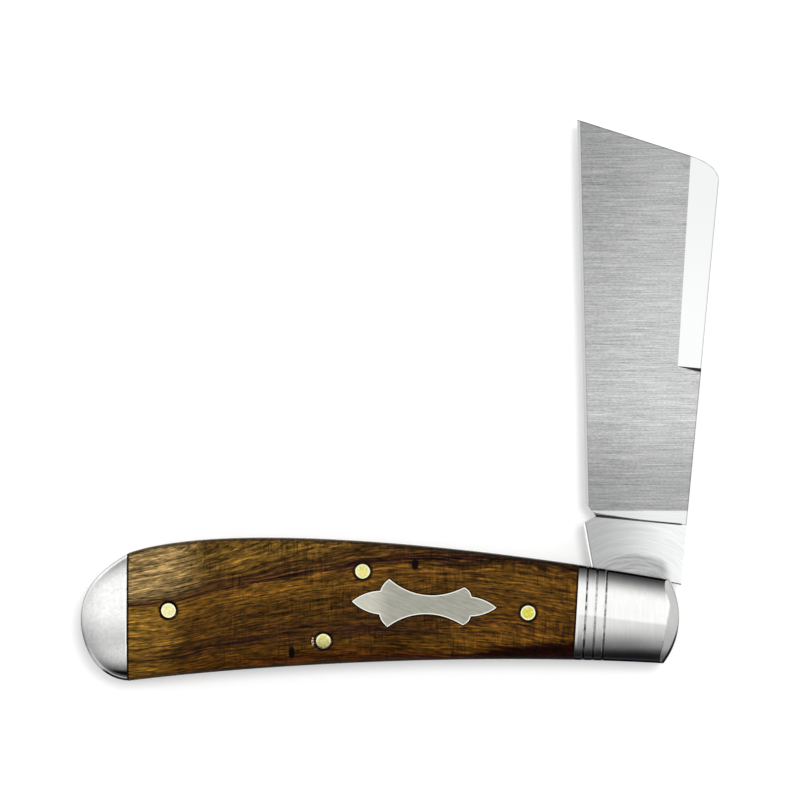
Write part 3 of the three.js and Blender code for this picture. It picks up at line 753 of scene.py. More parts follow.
# Each streak: its height in the grain, half its width, its strength, its colour and its ramps along x.
STREAKS = [
    (0.15, 0.42, 1.0, STREAK, []),
    (1.0, 0.5, 0.8, STREAK, []),
    (1.9, 0.3, 0.6, STREAK, []),
    (-8.3, 0.85, 0.85, STREAK, [(-26.0, -40.0)]),
    (-6.9, 0.25, 0.5, STREAK, []),
    (1.3, 1.1, 0.8, STREAK, [(-42.0, -32.0), (-12.0, -19.0)]),
    (-1.5, 0.8, 0.5, STREAK, [(-43.0, -39.0), (-26.0, -31.0)]),
    (-11.9, 0.5, 0.8, RED_STREAK, [(-66.0, -60.0)]),
    (-4.4, 0.16, 0.35, RED_STREAK, []),
]
STREAK_BORDER = (1.5, 0.4)
STRAND_EDGE, STRAND_SHARE = (0.44, 0.55), 0.7
FOOT = Vector((-26.8, -5.1))
FOOT_SLOPE = 0.1
FOOT_FRAY = 1.6
FOOT_EDGE, FOOT_ALONG = (0.3, -1.1), (-33.0, -24.0)


def figure(x, y, z, height, ragged):
    """The wood's colour, before its fine marks."""
    wood = x.finish
    low, high = BANDS[0][0], BANDS[-1][0]
    stops = [((at - low) / (high - low), screen(*colour)) for at, colour in BANDS]
    share = (ragged - low) / (high - low)
    colour = wood.node("ShaderNodeValToRGB", {"stops": stops}, {"Fac": share})["Color"]
    pale = x.rises(*PALE_ALONG) * ragged.rises(*PALE_ACROSS)
    colour = wood.mix(pale * PALE_SHARE, colour, screen(*TAN))
    warm = x.rises(*WARM_ALONG) * ragged.rises(*WARM_ACROSS)
    colour = wood.mix(warm * (1 + ragged.rises(*WARM_DOWN)) * WARM_SHARE, colour, screen(*HONEY))

    strands = wood.noise(x / 12, height * 3.8, z, 2.0, 0.8).rises(*STRAND_EDGE)
    for middle, half_width, strength, tint, ramps in STREAKS:
        border = (half_width * part for part in STREAK_BORDER)
        streak = abs(ragged - middle).rises(*border) * (1 - STRAND_SHARE + strands * STRAND_SHARE) * strength
        for start, full in ramps:
            streak = streak * x.rises(start, full)
        colour = wood.mix(streak, colour, screen(*tint))
    above_foot = y - (FOOT.y + (x - FOOT.x) * FOOT_SLOPE) + (ragged - height) * FOOT_FRAY
    return wood.mix(above_foot.rises(*FOOT_EDGE) * x.rises(*FOOT_ALONG), colour, screen(*CHAR))


print(len(STREAKS), "streaks over", len(BANDS), "bands")

# %% [markdown]
# Fine marks only make the colour darker or lighter, so they are one tone. Fibres and threads are
# stretched noise, and a power spreads them out. Lines and flecks are the same noise made crisp. Pores are
# short dark dashes, and saw marks run across the grain wherever a broad noise lets them. The same tone
# carries a painted shade where the crown falls away at the rim.

# %% Fibres, pores and saw marks
# Each noise: millimetres along the grain, units across it and through it, detail, roughness and a shift.
GRAIN_NOISES = {
    "bands": (20, 0.9, 0.6, 3.0, 0.6, 0),
    "fibres": (6, 2.1, 2, 3.0, 0.8, 0),
    "threads": (6, 4.4, 3, 2.0, 0.8, 0),
    "lines": (10, 4.4, 2, 1.0, 0.5, 0),
    "flecks": (1.25, 3.4, 2, 1.0, 0.5, 5),
    "pores": (2.4, 3.4, 4, 2.0, 0.5, 0),
}
SAWN_ALONG = (-76.0, -69.0)
FRONT_ALONG, FRONT_ACROSS = (-36.0, -24.0), (-1.4, -5.4)
FRONT_TONE, FRONT_BASE = 0.95, 0.2
REAR_ALONG, REAR_TONE = (-46.0, -52.0), 0.11
# Painted shade where the crown falls away at the rim.
WOOD_RIM_PAINTED_SHADE = (4.9, 4.1, 0.7)
# Each crisp mark: where it starts and is full, and how dark and how light it gets.
LINE_MARKS, FLECK_MARKS = (0.08, 0.18, 0.42, 0.34), (0.04, 0.14, 0.44, 0.38)
PORE_EDGE, PORE_TONE = (0.6, 0.7), 0.6
SAW_TONE = 1.8
SAWN_EDGE = (0.42, 0.58)
CUT_EDGE, CUT_TONE = (0.58, 0.66), 0.46
FIBRE_POWER, THREAD_POWER = 1.9, 2.2
WOOD_BASE, WOOD_BANDS = 0.44, 0.6
WOOD_ROUGHNESS, FIBRE_ROUGHNESS, PORE_ROUGHNESS = 0.4, 0.16, 0.2
FIBRE_RELIEF, CUT_RELIEF = 0.6, 0.8


def fine_marks(x, y, z, height, ragged):
    """The tone of the fine marks with a painted shade at the crown's rim, and how rough and how high they
    are.
    """
    noise = x.finish.noise
    grain = {}
    for name, (along, across, through, detail, roughness, shift) in GRAIN_NOISES.items():
        grain[name] = noise(x / along, height * across + shift, z * through, detail, roughness)
    fibres = grain["fibres"]
    pores = grain["pores"].rises(*PORE_EDGE)
    lines = crisp(grain["lines"], *LINE_MARKS) + crisp(grain["flecks"], *FLECK_MARKS)
    sawn = noise(x / 9, y / 6, z / 4).rises(*SAWN_EDGE) * x.rises(*SAWN_ALONG)
    saw = (noise(x * 2.4 + y * 0.1, y / 9, z / 5, 2.0, 0.8) - 0.5) * sawn
    cuts = noise(x * 3.0 - y * 0.12, y / 2.6, z / 5, 1.0).rises(*CUT_EDGE) * sawn

    stretched = (fibres * 2) ** FIBRE_POWER * (grain["threads"] * 2) ** THREAD_POWER
    tone = (WOOD_BASE + grain["bands"] * WOOD_BANDS) * stretched * (1 - lines)
    tone = tone * (1 + saw * SAW_TONE) * (1 - pores * PORE_TONE) * (1 - cuts * CUT_TONE)
    tone = tone * (1 + x.rises(*FRONT_ALONG) * (ragged.rises(*FRONT_ACROSS) - FRONT_BASE) * FRONT_TONE)
    tone = tone * (1 + x.rises(*REAR_ALONG) * REAR_TONE)
    # Painted shade where the crown falls away at the rim.
    tone = tone * crown_height(z).falls(*WOOD_RIM_PAINTED_SHADE)
    roughness = WOOD_ROUGHNESS + fibres * FIBRE_ROUGHNESS + pores * PORE_ROUGHNESS
    return tone, roughness, fibres * FIBRE_RELIEF - pores - cuts * CUT_RELIEF


print(len(GRAIN_NOISES), "noises stretched along the grain")

# %% [markdown]
# Last come the accidents: two small knots, a chip beside a pin where bare wood shows, and the dark line
# of oil and dirt along every joint. Round every pin that dark ring is partly dirt and partly a painted
# shade of the gap. Knots and chip are ellipses, on the mark side only.

# %% Knots, a chip and dirty seams
# Each spot: its middle, half its width and half its length.
KNOTS_IN_WOOD = [((-56.15, -5.76), 0.5, 1.0), ((-35.9, 8.73), 0.6, 0.85)]
CHIP = ((-52.65, -3.95), 0.26, 0.66)
FRONT_SEAM, REAR_SEAM = (0.3, 0.2), (0.32, 0.2)
RING_WIDTH, RING_SOFT = 0.36, 0.3
DIRT_SHARE = 0.92
KNOT_SOFT, CHIP_SOFT, SPOT_FULL = 1.6, 1.5, 0.5
CRUMB_EDGE = (0.46, 0.52)


def spot(x, y, z, ellipse, outer):
    """1 inside an ellipse on the mark side, fading out to an outer border."""
    (middle_x, middle_y), half_width, half_length = ellipse
    away = ((x - middle_x) / half_width) ** 2 + ((y - middle_y) / half_length) ** 2
    return away.rises(outer, SPOT_FULL) * z.rises(MIDDLE_Z, COVER_LOW)


def with_accidents(colour, x, y, z):
    """The wood's colour with its knots, its chip, the dirt along seams, and dirt and painted gap shade round
    the pins.
    """
    wood = x.finish
    for ellipse in KNOTS_IN_WOOD:
        colour = wood.mix(spot(x, y, z, ellipse, KNOT_SOFT), colour, screen(*KNOT))
    crumbs = wood.noise(x * 3.4, y * 4.6, 0.0, 1.0).rises(*CRUMB_EDGE)
    colour = wood.mix(spot(x, y, z, CHIP, CHIP_SOFT) * crumbs, colour, screen(*BARE_WOOD))
    dirt = seam(x, y, FRONT_JOINT, -front_way).rises(*FRONT_SEAM)
    dirt = dirt.or_more(seam(x, y, REAR_JOINT, -rearward).rises(*REAR_SEAM))
    # Round each pin, partly dirt and partly a painted shade of the gap between pin and wood.
    ring = PIN_RADIUS + HOLE_GAP + RING_WIDTH
    for at in BRASS_PINS:
        dirt = dirt.or_more(from_point(x, y, at).rises(ring, ring - RING_SOFT))
    return wood.mix(dirt * DIRT_SHARE, colour, screen(*OILY_DIRT_AND_GAP_SHADE))


# %% [markdown]
# The finish puts the four steps together: the place's height in the grain, the figure, the fine marks
# over it, and the accidents on top. Oiled wood shines only a little.

# %% Oiled hardwood
WOOD_SHINE = 0.06
PORE_DEPTH = 0.03


def oiled_wood():
    """The material of both covers."""
    wood = Finish("oiled_wood")
    place = wood.place()
    heights = grain_heights(*place)
    tone, roughness, relief = fine_marks(*place, *heights)
    colour = wood.shaded(figure(*place, *heights), tone)
    return wood.surface(
        {"Specular IOR Level": WOOD_SHINE},
        {
            "Base Color": with_accidents(colour, *place),
            "Roughness": roughness,
            "Normal": wood.bump(relief, PORE_DEPTH),
        },
    )


WOOD = oiled_wood()
print("oiled wood:", len(WOOD.node_tree.nodes), "nodes")

# %% [markdown]
# ## Metals
#
# Metals are told apart by three things: their colour, how wide their highlights are, and the direction of
# the scratches that a grinding belt or a polishing wheel left. A scratch is a narrow groove, so it is
# noise that is stretched along the belt's way and very fine across it. One recipe makes all of them but
# the blade's steel.
#
# A bolster isn't equally bright all over: its crown mirrors the softbox in its middle and dark at its edges.
# That light and shade is painted in, so the recipe takes a shade: a rule that gives the tone from the place.

# %% One recipe for all metals
LINE_STRETCH = 1 / 8
LINES_PER_MM = 3.2
CLOUDS_PER_MM = 0.45
LINE_ROUGHNESS, CLOUD_ROUGHNESS = 0.12, 0.1
SCRATCH_DEPTH = 0.002


def worked_metal(name, colour, roughness, lines_along, streaks=0.12, shade=None, painted_shade_colour=(0, 0, 0), grazing=1.0):
    """A metal with fine lines. The lines run along x, y or z, where their noise is stretched.

    Where the painted shade is low, the colour goes over into the painted shade colour. Grazing is how much is
    left of the mirror-like sheen that metal gets at its very edge.
    """
    metal = Finish(name)
    place = metal.place()
    stretch = [LINE_STRETCH if axis == lines_along else LINES_PER_MM for axis in "xyz"]
    lines = metal.noise(*(part * scale for part, scale in zip(place, stretch)), 3.0, 0.7)
    cloud = metal.noise(*(part * CLOUDS_PER_MM for part in place), 2.0)
    tone = 1 - streaks / 2 + (lines - 0.5) * streaks * 2 + (cloud - 0.5) * streaks
    if shade:
        tone = tone * shade(*place)
    return metal.surface(
        {"Metallic": 1.0, "Specular Tint": (grazing, grazing, grazing, 1)},
        {
            "Base Color": metal.mix(tone, screen(*painted_shade_colour), screen(*colour)),
            "Roughness": roughness + (lines - 0.5) * LINE_ROUGHNESS + (cloud - 0.5) * CLOUD_ROUGHNESS,
            "Normal": metal.bump(lines, SCRATCH_DEPTH),
        },
    )


# %% [markdown]
# A shade is painted light and shade, a product of soft steps along x and y and over the crown's height, all
# in millimetres. The front bolster has painted reflections that are brightest along its middle. Its grooves
# get painted dark lines that break up, each with a thin painted glint beside it, and its edge at the wood
# gets a painted highlight.

# %% The front bolster's crown and grooves
SIDE_TONE = 0.7
SIDE_HEIGHTS = (3.75, 3.45)
BREAK_LINE_X = -3.9
BREAK_SLOPE = 0.118
UPPER_SLOPE = 0.17
# Each fall of the painted tone: where it starts, where it is full, and how much it takes away there.
BREAK_FALL = (0.15, -0.35, 0.2)
UPPER_FALL = (3.2, 7.6, 0.88)
LOWER_FALL = (-4.7, -6.4, 0.77)
RIM_FALL = (4.9, 4.3, 0.95)
GREY_START, GREY_SHARE = (-0.3, -2.0), 0.1
GREY_BELOW, GREY_BELOW_SHARE = (-1.4, -4.4), 0.3
LESS_AT_NOSE, LESS_SHARE = (-1.0, 5.0), 0.14
# The painted highlight along the edge at the wood: where it rises, how strong, and where along y.
WOOD_EDGE, WOOD_EDGE_SHARE = (0.5, 0.35), 0.7
WOOD_EDGE_BELOW, WOOD_EDGE_ABOVE = (-5.6, -3.6), (6.6, 5.4)
GROOVE_STRENGTHS = (1.0, 0.55, 0.9)
GROOVE_EDGE, GROOVE_PAINTED_SHADE, GROOVE_BROKEN = (0.15, 0.07), 0.3, 0.6
GLINT_OFFSET = 0.2
GLINT_EDGE, GLINT_ALONG, GLINT_TONE = (0.12, 0.05), (-6.6, -5.6), 0.8


def bright_side(z, tone):
    """Brings a tone back to one even, bright tone on the upright sides of a bolster, without the painted
    light and shade.
    """
    return tone.towards(SIDE_TONE, crown_height(z).rises(*SIDE_HEIGHTS))


def crown_shade(x, y, z):
    """Painted reflections: bright along the middle, with a sudden break to grey below it, and dark at the
    edges.
    """
    lower = (y + (x - BREAK_LINE_X) * BREAK_SLOPE).falls(*BREAK_FALL) - y.rises(*GREY_START) * GREY_SHARE
    grey_share = GREY_BELOW_SHARE - x.rises(*LESS_AT_NOSE) * LESS_SHARE
    lower = (lower - y.rises(*GREY_BELOW) * grey_share) * y.falls(*LOWER_FALL)
    tone = lower * (y + x * UPPER_SLOPE).falls(*UPPER_FALL) * crown_height(z).falls(*RIM_FALL)
    # A painted highlight along the edge at the wood.
    highlight_at_wood = seam(x, y, FRONT_JOINT, front_way).rises(*WOOD_EDGE)
    highlight_at_wood = highlight_at_wood * y.rises(*WOOD_EDGE_BELOW) * y.rises(*WOOD_EDGE_ABOVE)
    return tone.towards(1, highlight_at_wood * WOOD_EDGE_SHARE)


def grooved(tone, x, y, z):
    """Paints a dark shade into the grooves, and a painted glint beside each."""
    noise = x.finish.noise
    for place, strength in zip(GROOVE_PLACES, GROOVE_STRENGTHS):
        broken = noise(y * 0.9, place * 7, z, 3.0, 0.8).rises(0.4, 0.6)
        beside = seam(x, y, FRONT_JOINT, front_way) - place
        # Painted shade in each groove, broken up; the grooves themselves are cut into the mesh.
        tone = tone * abs(beside).falls(*GROOVE_EDGE, (GROOVE_PAINTED_SHADE + broken * GROOVE_BROKEN) * strength)
        shiny = noise(y * 1.1, place, z, 2.0).rises(0.5, 0.58) * y.rises(*GLINT_ALONG)
        glint = abs(beside + GLINT_OFFSET).rises(*GLINT_EDGE) * shiny
        tone = tone.towards(1, glint * (strength * GLINT_TONE))
    return tone


print(len(GROOVE_PLACES), "grooves,", *(f"{place:.2f}" for place in GROOVE_PLACES), "mm from the wood")

# %% [markdown]
# The ground face at the nose is flat, so its painted reflection is one grey, darker towards its foot. Its
# mask compares the crown's height with the height that the ground cone has at that distance from the nose's
# middle.

# %% The ground face of the front bolster
FACE_TONE = 0.56
FACE_SLOPE = 0.17
FACE_START_X = 5.64
FACE_SOFT = (-0.15, 0.15)
FACE_BELOW = (0.6, -0.6)
FACE_TOP = (5.35, 5.15)
CONE_SOFT = (0.06, 0.03)
FOOT_GREY, FOOT_GREY_SHARE = (0.0, -6.5), 0.23
FACE_FOOT_FALL = (-4.8, -6.6, 0.7)
RIM_LINE, RIM_LINE_BELOW, RIM_LINE_GROWS = 0.16, 0.24, (-1.0, -5.0)
RIM_LINE_SOFT, RIM_LINE_TONE = (-0.08, 0.04), 0.3
RIM_DARKER, RIM_DARKER_SHARE = (0.0, -3.5), 0.65


def front_shade(x, y, z):
    """Painted light and shade on the crown with its grooves, and on the ground face at the nose."""
    height = crown_height(z)
    out = from_point(x, y, nose_centre)
    cone = COVER_HIGH - CROWN_RISE - MIDDLE_Z + (NOSE_RADIUS - out) * (CROWN_RISE / NOSE_FACE)
    inside = (x - FACE_START_X - y * FACE_SLOPE).rises(*FACE_SOFT).or_more(y.rises(*FACE_BELOW))
    on_face = abs(height - cone).rises(*CONE_SOFT) * inside.or_more(height.rises(*FACE_TOP))
    # A painted grey reflection on the flat face, darker towards its foot, with a painted dark line at its
    # rim.
    face = (FACE_TONE - y.rises(*FOOT_GREY) * FOOT_GREY_SHARE) * y.falls(*FACE_FOOT_FALL)
    rim = NOSE_RADIUS - RIM_LINE - y.rises(*RIM_LINE_GROWS) * RIM_LINE_BELOW
    rim_tone = RIM_LINE_TONE + y.rises(*RIM_DARKER) * RIM_DARKER_SHARE
    face = face * (out - rim).falls(*RIM_LINE_SOFT, rim_tone)
    return bright_side(z, grooved(crown_shade(x, y, z), x, y, z).towards(face, on_face))


print(f"ground face from x = {FACE_START_X} to the nose at {NOSE_X:.1f}")

# %% [markdown]
# The rear bolster gets a painted dome: painted reflections of the softbox above and the dark room below, so
# its lower edge is painted black with a painted glint in it. A pin gets a painted highlight at its rim, where
# the buffing wheel rounds it, and is dented in its middle. The shield has slanting scratches and a paler rear
# lobe.

# %% Painted light of the rear bolster and the pins, and the shield's tone
# Painted reflections of the rear bolster: dome, black lower edge, glint, sheen, grey top, butt and wood edge.
BLACK_CORNER_X = -86.0
BLACK_SLOPE = 0.06
BLACK_EDGE, BLACK_SHARE = (-8.3, -8.9), 0.77
DOME_FALL = (1.4, -3.6, 0.34)
DOME_RISE, DOME_RISE_SHARE = (-4.0, -7.0), 0.25
BUTT_FALL = (-86.6, -91.2, 0.3)
LOW_FALL = (-7.4, -8.6, 0.2)
DOME_RIM_FALL = (4.1, 3.75, 0.5)
GLINT_HEIGHT, GLINT_SOFT, GLINT_START, GLINT_SHARE = 4.66, (0.26, 0.14), (-88.4, -86.6), 0.6
SHEEN_HEIGHTS, SHEEN_BELOW, SHEEN_SHARE = (4.6, 4.4), (3.0, -4.0), 0.42
TOP_GREY, TOP_GREY_HEIGHTS, TOP_GREY_SHARE = (6.6, 9.6), (5.6, 4.6), 0.18
DOME_WOOD_EDGE, DOME_WOOD_ABOVE = (0.36, 0.24), (-8.4, -7.6)
SPECKS_PER_MM, SPECK_TONE = 1.6, 0.5
DENTS_PER_MM, DENT_TONE = 2.6, 2.0
# The painted highlight at the pins' rims, and how far their middles fall from it.
PIN_RIM_EDGES, PIN_DEEP = (1.08, 0.9), 0.6
REAR_PIN_ALONG, REAR_PIN_PALER = (-60.0, -66.0), 0.2
FRONT_PIN_ALONG, FRONT_PIN_DARKER = (-30.0, -24.0), 0.25
SHIELD_TONE = 0.54
PALE_LOBE, PALE_LOBE_SHARE = (-39.0, -44.0), 0.3
SLANT, SLANT_ALONG, SLANT_ACROSS, SLANT_TONE = 0.4, 0.3, 2.2, 0.55


def rear_shade(x, y, z):
    """Painted reflections: white above, greyer by and by below its middle, and black along its lower edge."""
    height = crown_height(z)
    dome = y.falls(*DOME_FALL) + y.rises(*DOME_RISE) * DOME_RISE_SHARE
    glint = abs(height - GLINT_HEIGHT).rises(*GLINT_SOFT) * x.rises(*GLINT_START)
    black = (y + (x - BLACK_CORNER_X) * BLACK_SLOPE).rises(*BLACK_EDGE)
    low_edge = y.falls(*LOW_FALL) - black * (BLACK_SHARE - glint * GLINT_SHARE)
    sheen = height.falls(*SHEEN_HEIGHTS, y.rises(*SHEEN_BELOW) * (1 - black) * SHEEN_SHARE)
    top_grey = y.falls(*TOP_GREY, height.rises(*TOP_GREY_HEIGHTS) * TOP_GREY_SHARE)
    specks = x.finish.noise(*(part * SPECKS_PER_MM for part in (x, y, z)), 3.0, 0.7)
    tone = dome * x.falls(*BUTT_FALL) * low_edge * height.falls(*DOME_RIM_FALL) * top_grey * sheen
    tone = tone * (1 - (specks - 0.5) * SPECK_TONE)
    # A painted highlight along the edge at the wood.
    highlight_at_wood = seam(x, y, REAR_JOINT, rearward).rises(*DOME_WOOD_EDGE) * y.rises(*DOME_WOOD_ABOVE)
    return bright_side(z, tone.towards(1, highlight_at_wood))


def pin_shade(x, y, z):
    """A painted highlight at the rims, with a few dents in the middle."""
    nearest, *others = (from_point(x, y, at) for at in BRASS_PINS)
    for away in others:
        nearest = nearest.or_less(away)
    dents = x.finish.noise(x * DENTS_PER_MM, y * DENTS_PER_MM, z, 2.0, 0.6)
    deep = PIN_DEEP - x.rises(*REAR_PIN_ALONG) * REAR_PIN_PALER + x.rises(*FRONT_PIN_ALONG) * FRONT_PIN_DARKER
    return nearest.falls(*PIN_RIM_EDGES, deep + (dents - 0.5) * DENT_TONE)


def shield_shade(x, y, z):
    """Paler in the rear lobe, with slanting scratches."""
    along, across = (x - y * SLANT) * SLANT_ALONG, (y + x * SLANT) * SLANT_ACROSS
    slanting = x.finish.noise(along, across, z, 3.0, 0.75)
    return SHIELD_TONE + x.rises(*PALE_LOBE) * PALE_LOBE_SHARE + (slanting - 0.5) * SLANT_TONE


print(f"black edge of the rear bolster below y = {BLACK_EDGE[0]}")

# %% [markdown]
# With the shades ready, each metal is one call: its name, its colour on screen, its roughness and the way
# of its lines.

# %% The metals of this knife
# The dark of the painted reflections on the bolsters, where their painted shade is low.
PAINTED_DARK_REFLECTION = (18, 19, 28)
# The pins' brass in their middles, inside the painted highlight at their rims.
PIN_MIDDLE_BRASS = (205, 196, 30)
FRONT_METAL = worked_metal(
    "nickel_silver_grooved_painted_light", (253, 253, 251), 0.2, "y", shade=front_shade, painted_shade_colour=PAINTED_DARK_REFLECTION, grazing=0.25)
REAR_METAL = worked_metal(
    "nickel_silver_painted_dome_light", (253, 254, 252), 0.22, "y", shade=rear_shade, painted_shade_colour=PAINTED_DARK_REFLECTION, grazing=0.25)
NICKEL_SILVER = worked_metal("nickel_silver", (226, 227, 224), 0.2, "y")
PAINTED_HIGHLIGHT_RIM = worked_metal("painted_highlight_rim", (250, 247, 240), 0.3, "x", streaks=0.04)
SHIELD_METAL = worked_metal("shield_metal", (222, 221, 205), 0.3, "x", streaks=0.08, shade=shield_shade)
SPRING_STEEL = worked_metal("spring_steel", (190, 192, 194), 0.24, "x", streaks=0.2)
LINER_BRASS = worked_metal("liner_brass", (132, 106, 56), 0.34, "x")
PIN_BRASS = worked_metal(
    "pin_brass", (255, 252, 214), 0.22, "x", streaks=0.06, shade=pin_shade, painted_shade_colour=PIN_MIDDLE_BRASS, grazing=0.5)
print("metals:", *(m.name for m in (FRONT_METAL, REAR_METAL, NICKEL_SILVER, SHIELD_METAL, PIN_BRASS)))

# %% [markdown]
# ## A crowned half handle
#
# The covers and bolsters are shaped together at the bench, on one rounding belt, so their surfaces run
# into each other without a step. The same is done here: one crowned plate is made and later cut into
# cover and bolsters. The rim falls away in a quarter of an ellipse, 6 mm wide and 2.4 mm deep. Blender's
# bevel makes quarter circles, so the plate is first stretched in height until that ellipse is a circle,
# bevelled, and pressed back.

# %% The crowned plate that covers and bolsters are cut from
CROWN_WIDTH = 6.0
CROWN_STEPS = 16
# Bevelled corners pile up where the outline has points close to a knot, so those go first.
CORNER_REACH = 0.9
CORNER_MERGE = 0.06

crown_stretch = CROWN_WIDTH / CROWN_RISE
half_handle = long_outline("half_handle", 2 * CROWN_WIDTH)
with editing(half_handle):
    for corner in (cap_top, cap_bottom):
        pick(half_handle, "verts", lambda vert: SAME_KNOT < (vert.co.xy - corner).length < CORNER_REACH)
        bpy.ops.mesh.dissolve_verts()
thickened(half_handle, 0, COVER_THICKNESS)
with editing(half_handle):
    bpy.ops.transform.resize(value=(1, 1, crown_stretch), center_override=(0, 0, 0))
    rim_height = COVER_THICKNESS * crown_stretch
    pick(half_handle, "edges", lambda edge: all(corner.co.z > rim_height - CLOSE for corner in edge.verts))
    bpy.ops.mesh.bevel(offset=CROWN_WIDTH, segments=CROWN_STEPS, profile=0.5, clamp_overlap=False)
    bpy.ops.mesh.select_all(action="SELECT")
    bpy.ops.transform.resize(value=(1, 1, 1 / crown_stretch), center_override=(0, 0, 0))
    bpy.ops.transform.translate(value=(0, 0, COVER_LOW))
    bpy.ops.mesh.remove_doubles(threshold=CORNER_MERGE)
    bpy.ops.mesh.normals_make_consistent(inside=False)
print(f"half handle: {len(half_handle.data.polygons)} faces, {half_handle.dimensions.z:.2f} mm thick")

# %% [markdown]
# Three more helpers serve all pieces of the handle. A cut by a plane keeps one side and closes it. The
# pile side is the mark side pressed through the knife's middle. And no real edge is quite sharp, so edges
# get a tiny bevel.

# %% Cutting by a plane, mirroring and easing
FINE_EASE = 0.05
SOFT_EASE = 0.06


def kept(piece, point, normal):
    """Keeps what lies on the normal's side of a plane, and closes the cut with a face."""
    with editing(piece):
        bpy.ops.mesh.bisect(plane_co=point.to_3d(), plane_no=normal.to_3d(), use_fill=True, clear_inner=True)
    return piece


def pile_twin(piece, name):
    """The mirror image of a piece, on the pile side."""
    twin = twin_of(piece, name)
    with editing(twin):
        bpy.ops.transform.resize(value=(1, 1, -1), center_override=(0, 0, MIDDLE_Z))
        bpy.ops.mesh.normals_make_consistent(inside=False)
    return twin


def eased(piece, width, angle=35, segments=2):
    """Breaks the sharp edges of a piece, as a last pass of fine paper does."""
    return modify(
        piece, "BEVEL", width=width, segments=segments, limit_method="ANGLE", angle_limit=math.radians(angle),
        use_clamp_overlap=False, miter_outer="MITER_SHARP",
    )


# %% [markdown]
# ## Front bolster
#
# The front bolster carries the pivot. Its nose is ground with a narrow flat all the way round, and three
# grooves run across it beside the wood. Cutting the grooves with boxes would leave them deep on the flat
# and shallow on the crown. Scored lines follow the surface: the plate is sliced at each groove's edges
# and bottom, and the slices at the bottom are pressed in along their normals.

# %% Grooves, scored before the plate is cut
GROOVE_HALF_WIDTH = 0.2
GROOVE_FLOOR_HALF = 0.07
GROOVE_DEPTH = 0.22
GROOVE_CUTS = (-GROOVE_HALF_WIDTH, -GROOVE_FLOOR_HALF, GROOVE_FLOOR_HALF, GROOVE_HALF_WIDTH)

front_bolster = twin_of(half_handle, "front_bolster")
kept(front_bolster, FRONT_JOINT + front_way * (JOINT_GAP / 2), front_way)
for place in GROOVE_PLACES:
    middle = FRONT_JOINT + front_way * place
    with editing(front_bolster):
        for offset in GROOVE_CUTS:
            bpy.ops.mesh.select_all(action="SELECT")
            at = (middle + front_way * offset).to_3d()
            bpy.ops.mesh.bisect(plane_co=at, plane_no=front_way.to_3d())
        floor_half = GROOVE_FLOOR_HALF + CLOSE
        pick(front_bolster, "verts", lambda corner: abs((corner.co.xy - middle).dot(front_way)) < floor_half)
        bpy.ops.transform.shrink_fatten(value=-GROOVE_DEPTH)
        pick(front_bolster, "verts", lambda corner: abs(corner.co.z - COVER_LOW) < GROOVE_DEPTH)
        bpy.ops.transform.resize(value=(1, 1, 0), center_override=(0, 0, COVER_LOW))
print(f"scored plate: {len(front_bolster.data.polygons)} faces")

# %% [markdown]
# The nose is ground by a disc: a cylinder whose upper rim is bevelled to the ground face. The bolster is
# what the plate and the disc share. The pivot's bore is blind, so the pin doesn't show.

# %% The nose, ground round with a flat rim
PAST_TOP = 1.0
NOSE_SIDES = 400
PIVOT_COVER = 0.5

top = COVER_HIGH + PAST_TOP
nose_disc = rod(nose_centre, NOSE_RADIUS, COVER_LOW - 1, top, NOSE_SIDES)
with editing(nose_disc):
    pick(nose_disc, "faces", lambda face: face.calc_center_median().z > top - CLOSE)
    bpy.ops.mesh.inset(thickness=NOSE_FACE * (CROWN_RISE + PAST_TOP) / CROWN_RISE)
    rim_start = NOSE_RADIUS - CLOSE
    pick(nose_disc, "verts", lambda corner: corner.co.z > top - CLOSE
         and (corner.co.xy - nose_centre).length > rim_start)
    bpy.ops.transform.translate(value=(0, 0, -CROWN_RISE - PAST_TOP))
combine(front_bolster, nose_disc, "INTERSECT")
combine(front_bolster, rod(PIVOT, PIVOT_PIN_RADIUS + PIN_CLEARANCE, COVER_LOW - 1, COVER_HIGH - PIVOT_COVER))
eased(front_bolster, FINE_EASE)

RIVET_ENDS = [f"bolster_rivet_{place}" for place in ("upper", "lower")]
front_bolster_pile = pile_twin(front_bolster, "front_bolster_pile")
for side, bolster in (("mark", front_bolster), ("pile", front_bolster_pile)):
    name = f"front_bolster_{side}"
    hidden = [name, *(f"front_{end}_{side}" for end in RIVET_ENDS)]
    finished(bolster, f"{name}_polished", "handle", FRONT_METAL, hidden)

# %% [markdown]
# ## Rear bolster
#
# The rear bolster caps the butt. It is the round end of the same crowned plate, cut off by a plane.

# %% Rear bolsters of both sides
rear_bolster = kept(twin_of(half_handle, "rear_bolster"), REAR_JOINT + rearward * (JOINT_GAP / 2), rearward)
eased(rear_bolster, SOFT_EASE)
rear_bolster_pile = pile_twin(rear_bolster, "rear_bolster_pile")
# Their dome is painted light in the material; the mesh has the same crown as the rest of the handle.
for side, bolster in (("mark", rear_bolster), ("pile", rear_bolster_pile)):
    name = f"rear_bolster_{side}"
    hidden = [name, *(f"rear_{end}_{side}" for end in RIVET_ENDS)]
    finished(bolster, f"{name}_domed", "handle", REAR_METAL, hidden)

# %% [markdown]
# ## Shield
#
# The shield is a thin inlay of nickel silver with a pointed lobe at each end, ears beside the lobes and a
# drawn waist. Its half outline is six arcs, so six pulls and six ends draw it, and the other half is the
# mirror image. It is let into the wood and filed flush, so its top is cut by the crown: the prism of the
# outline and the crowned plate keep only what they share.

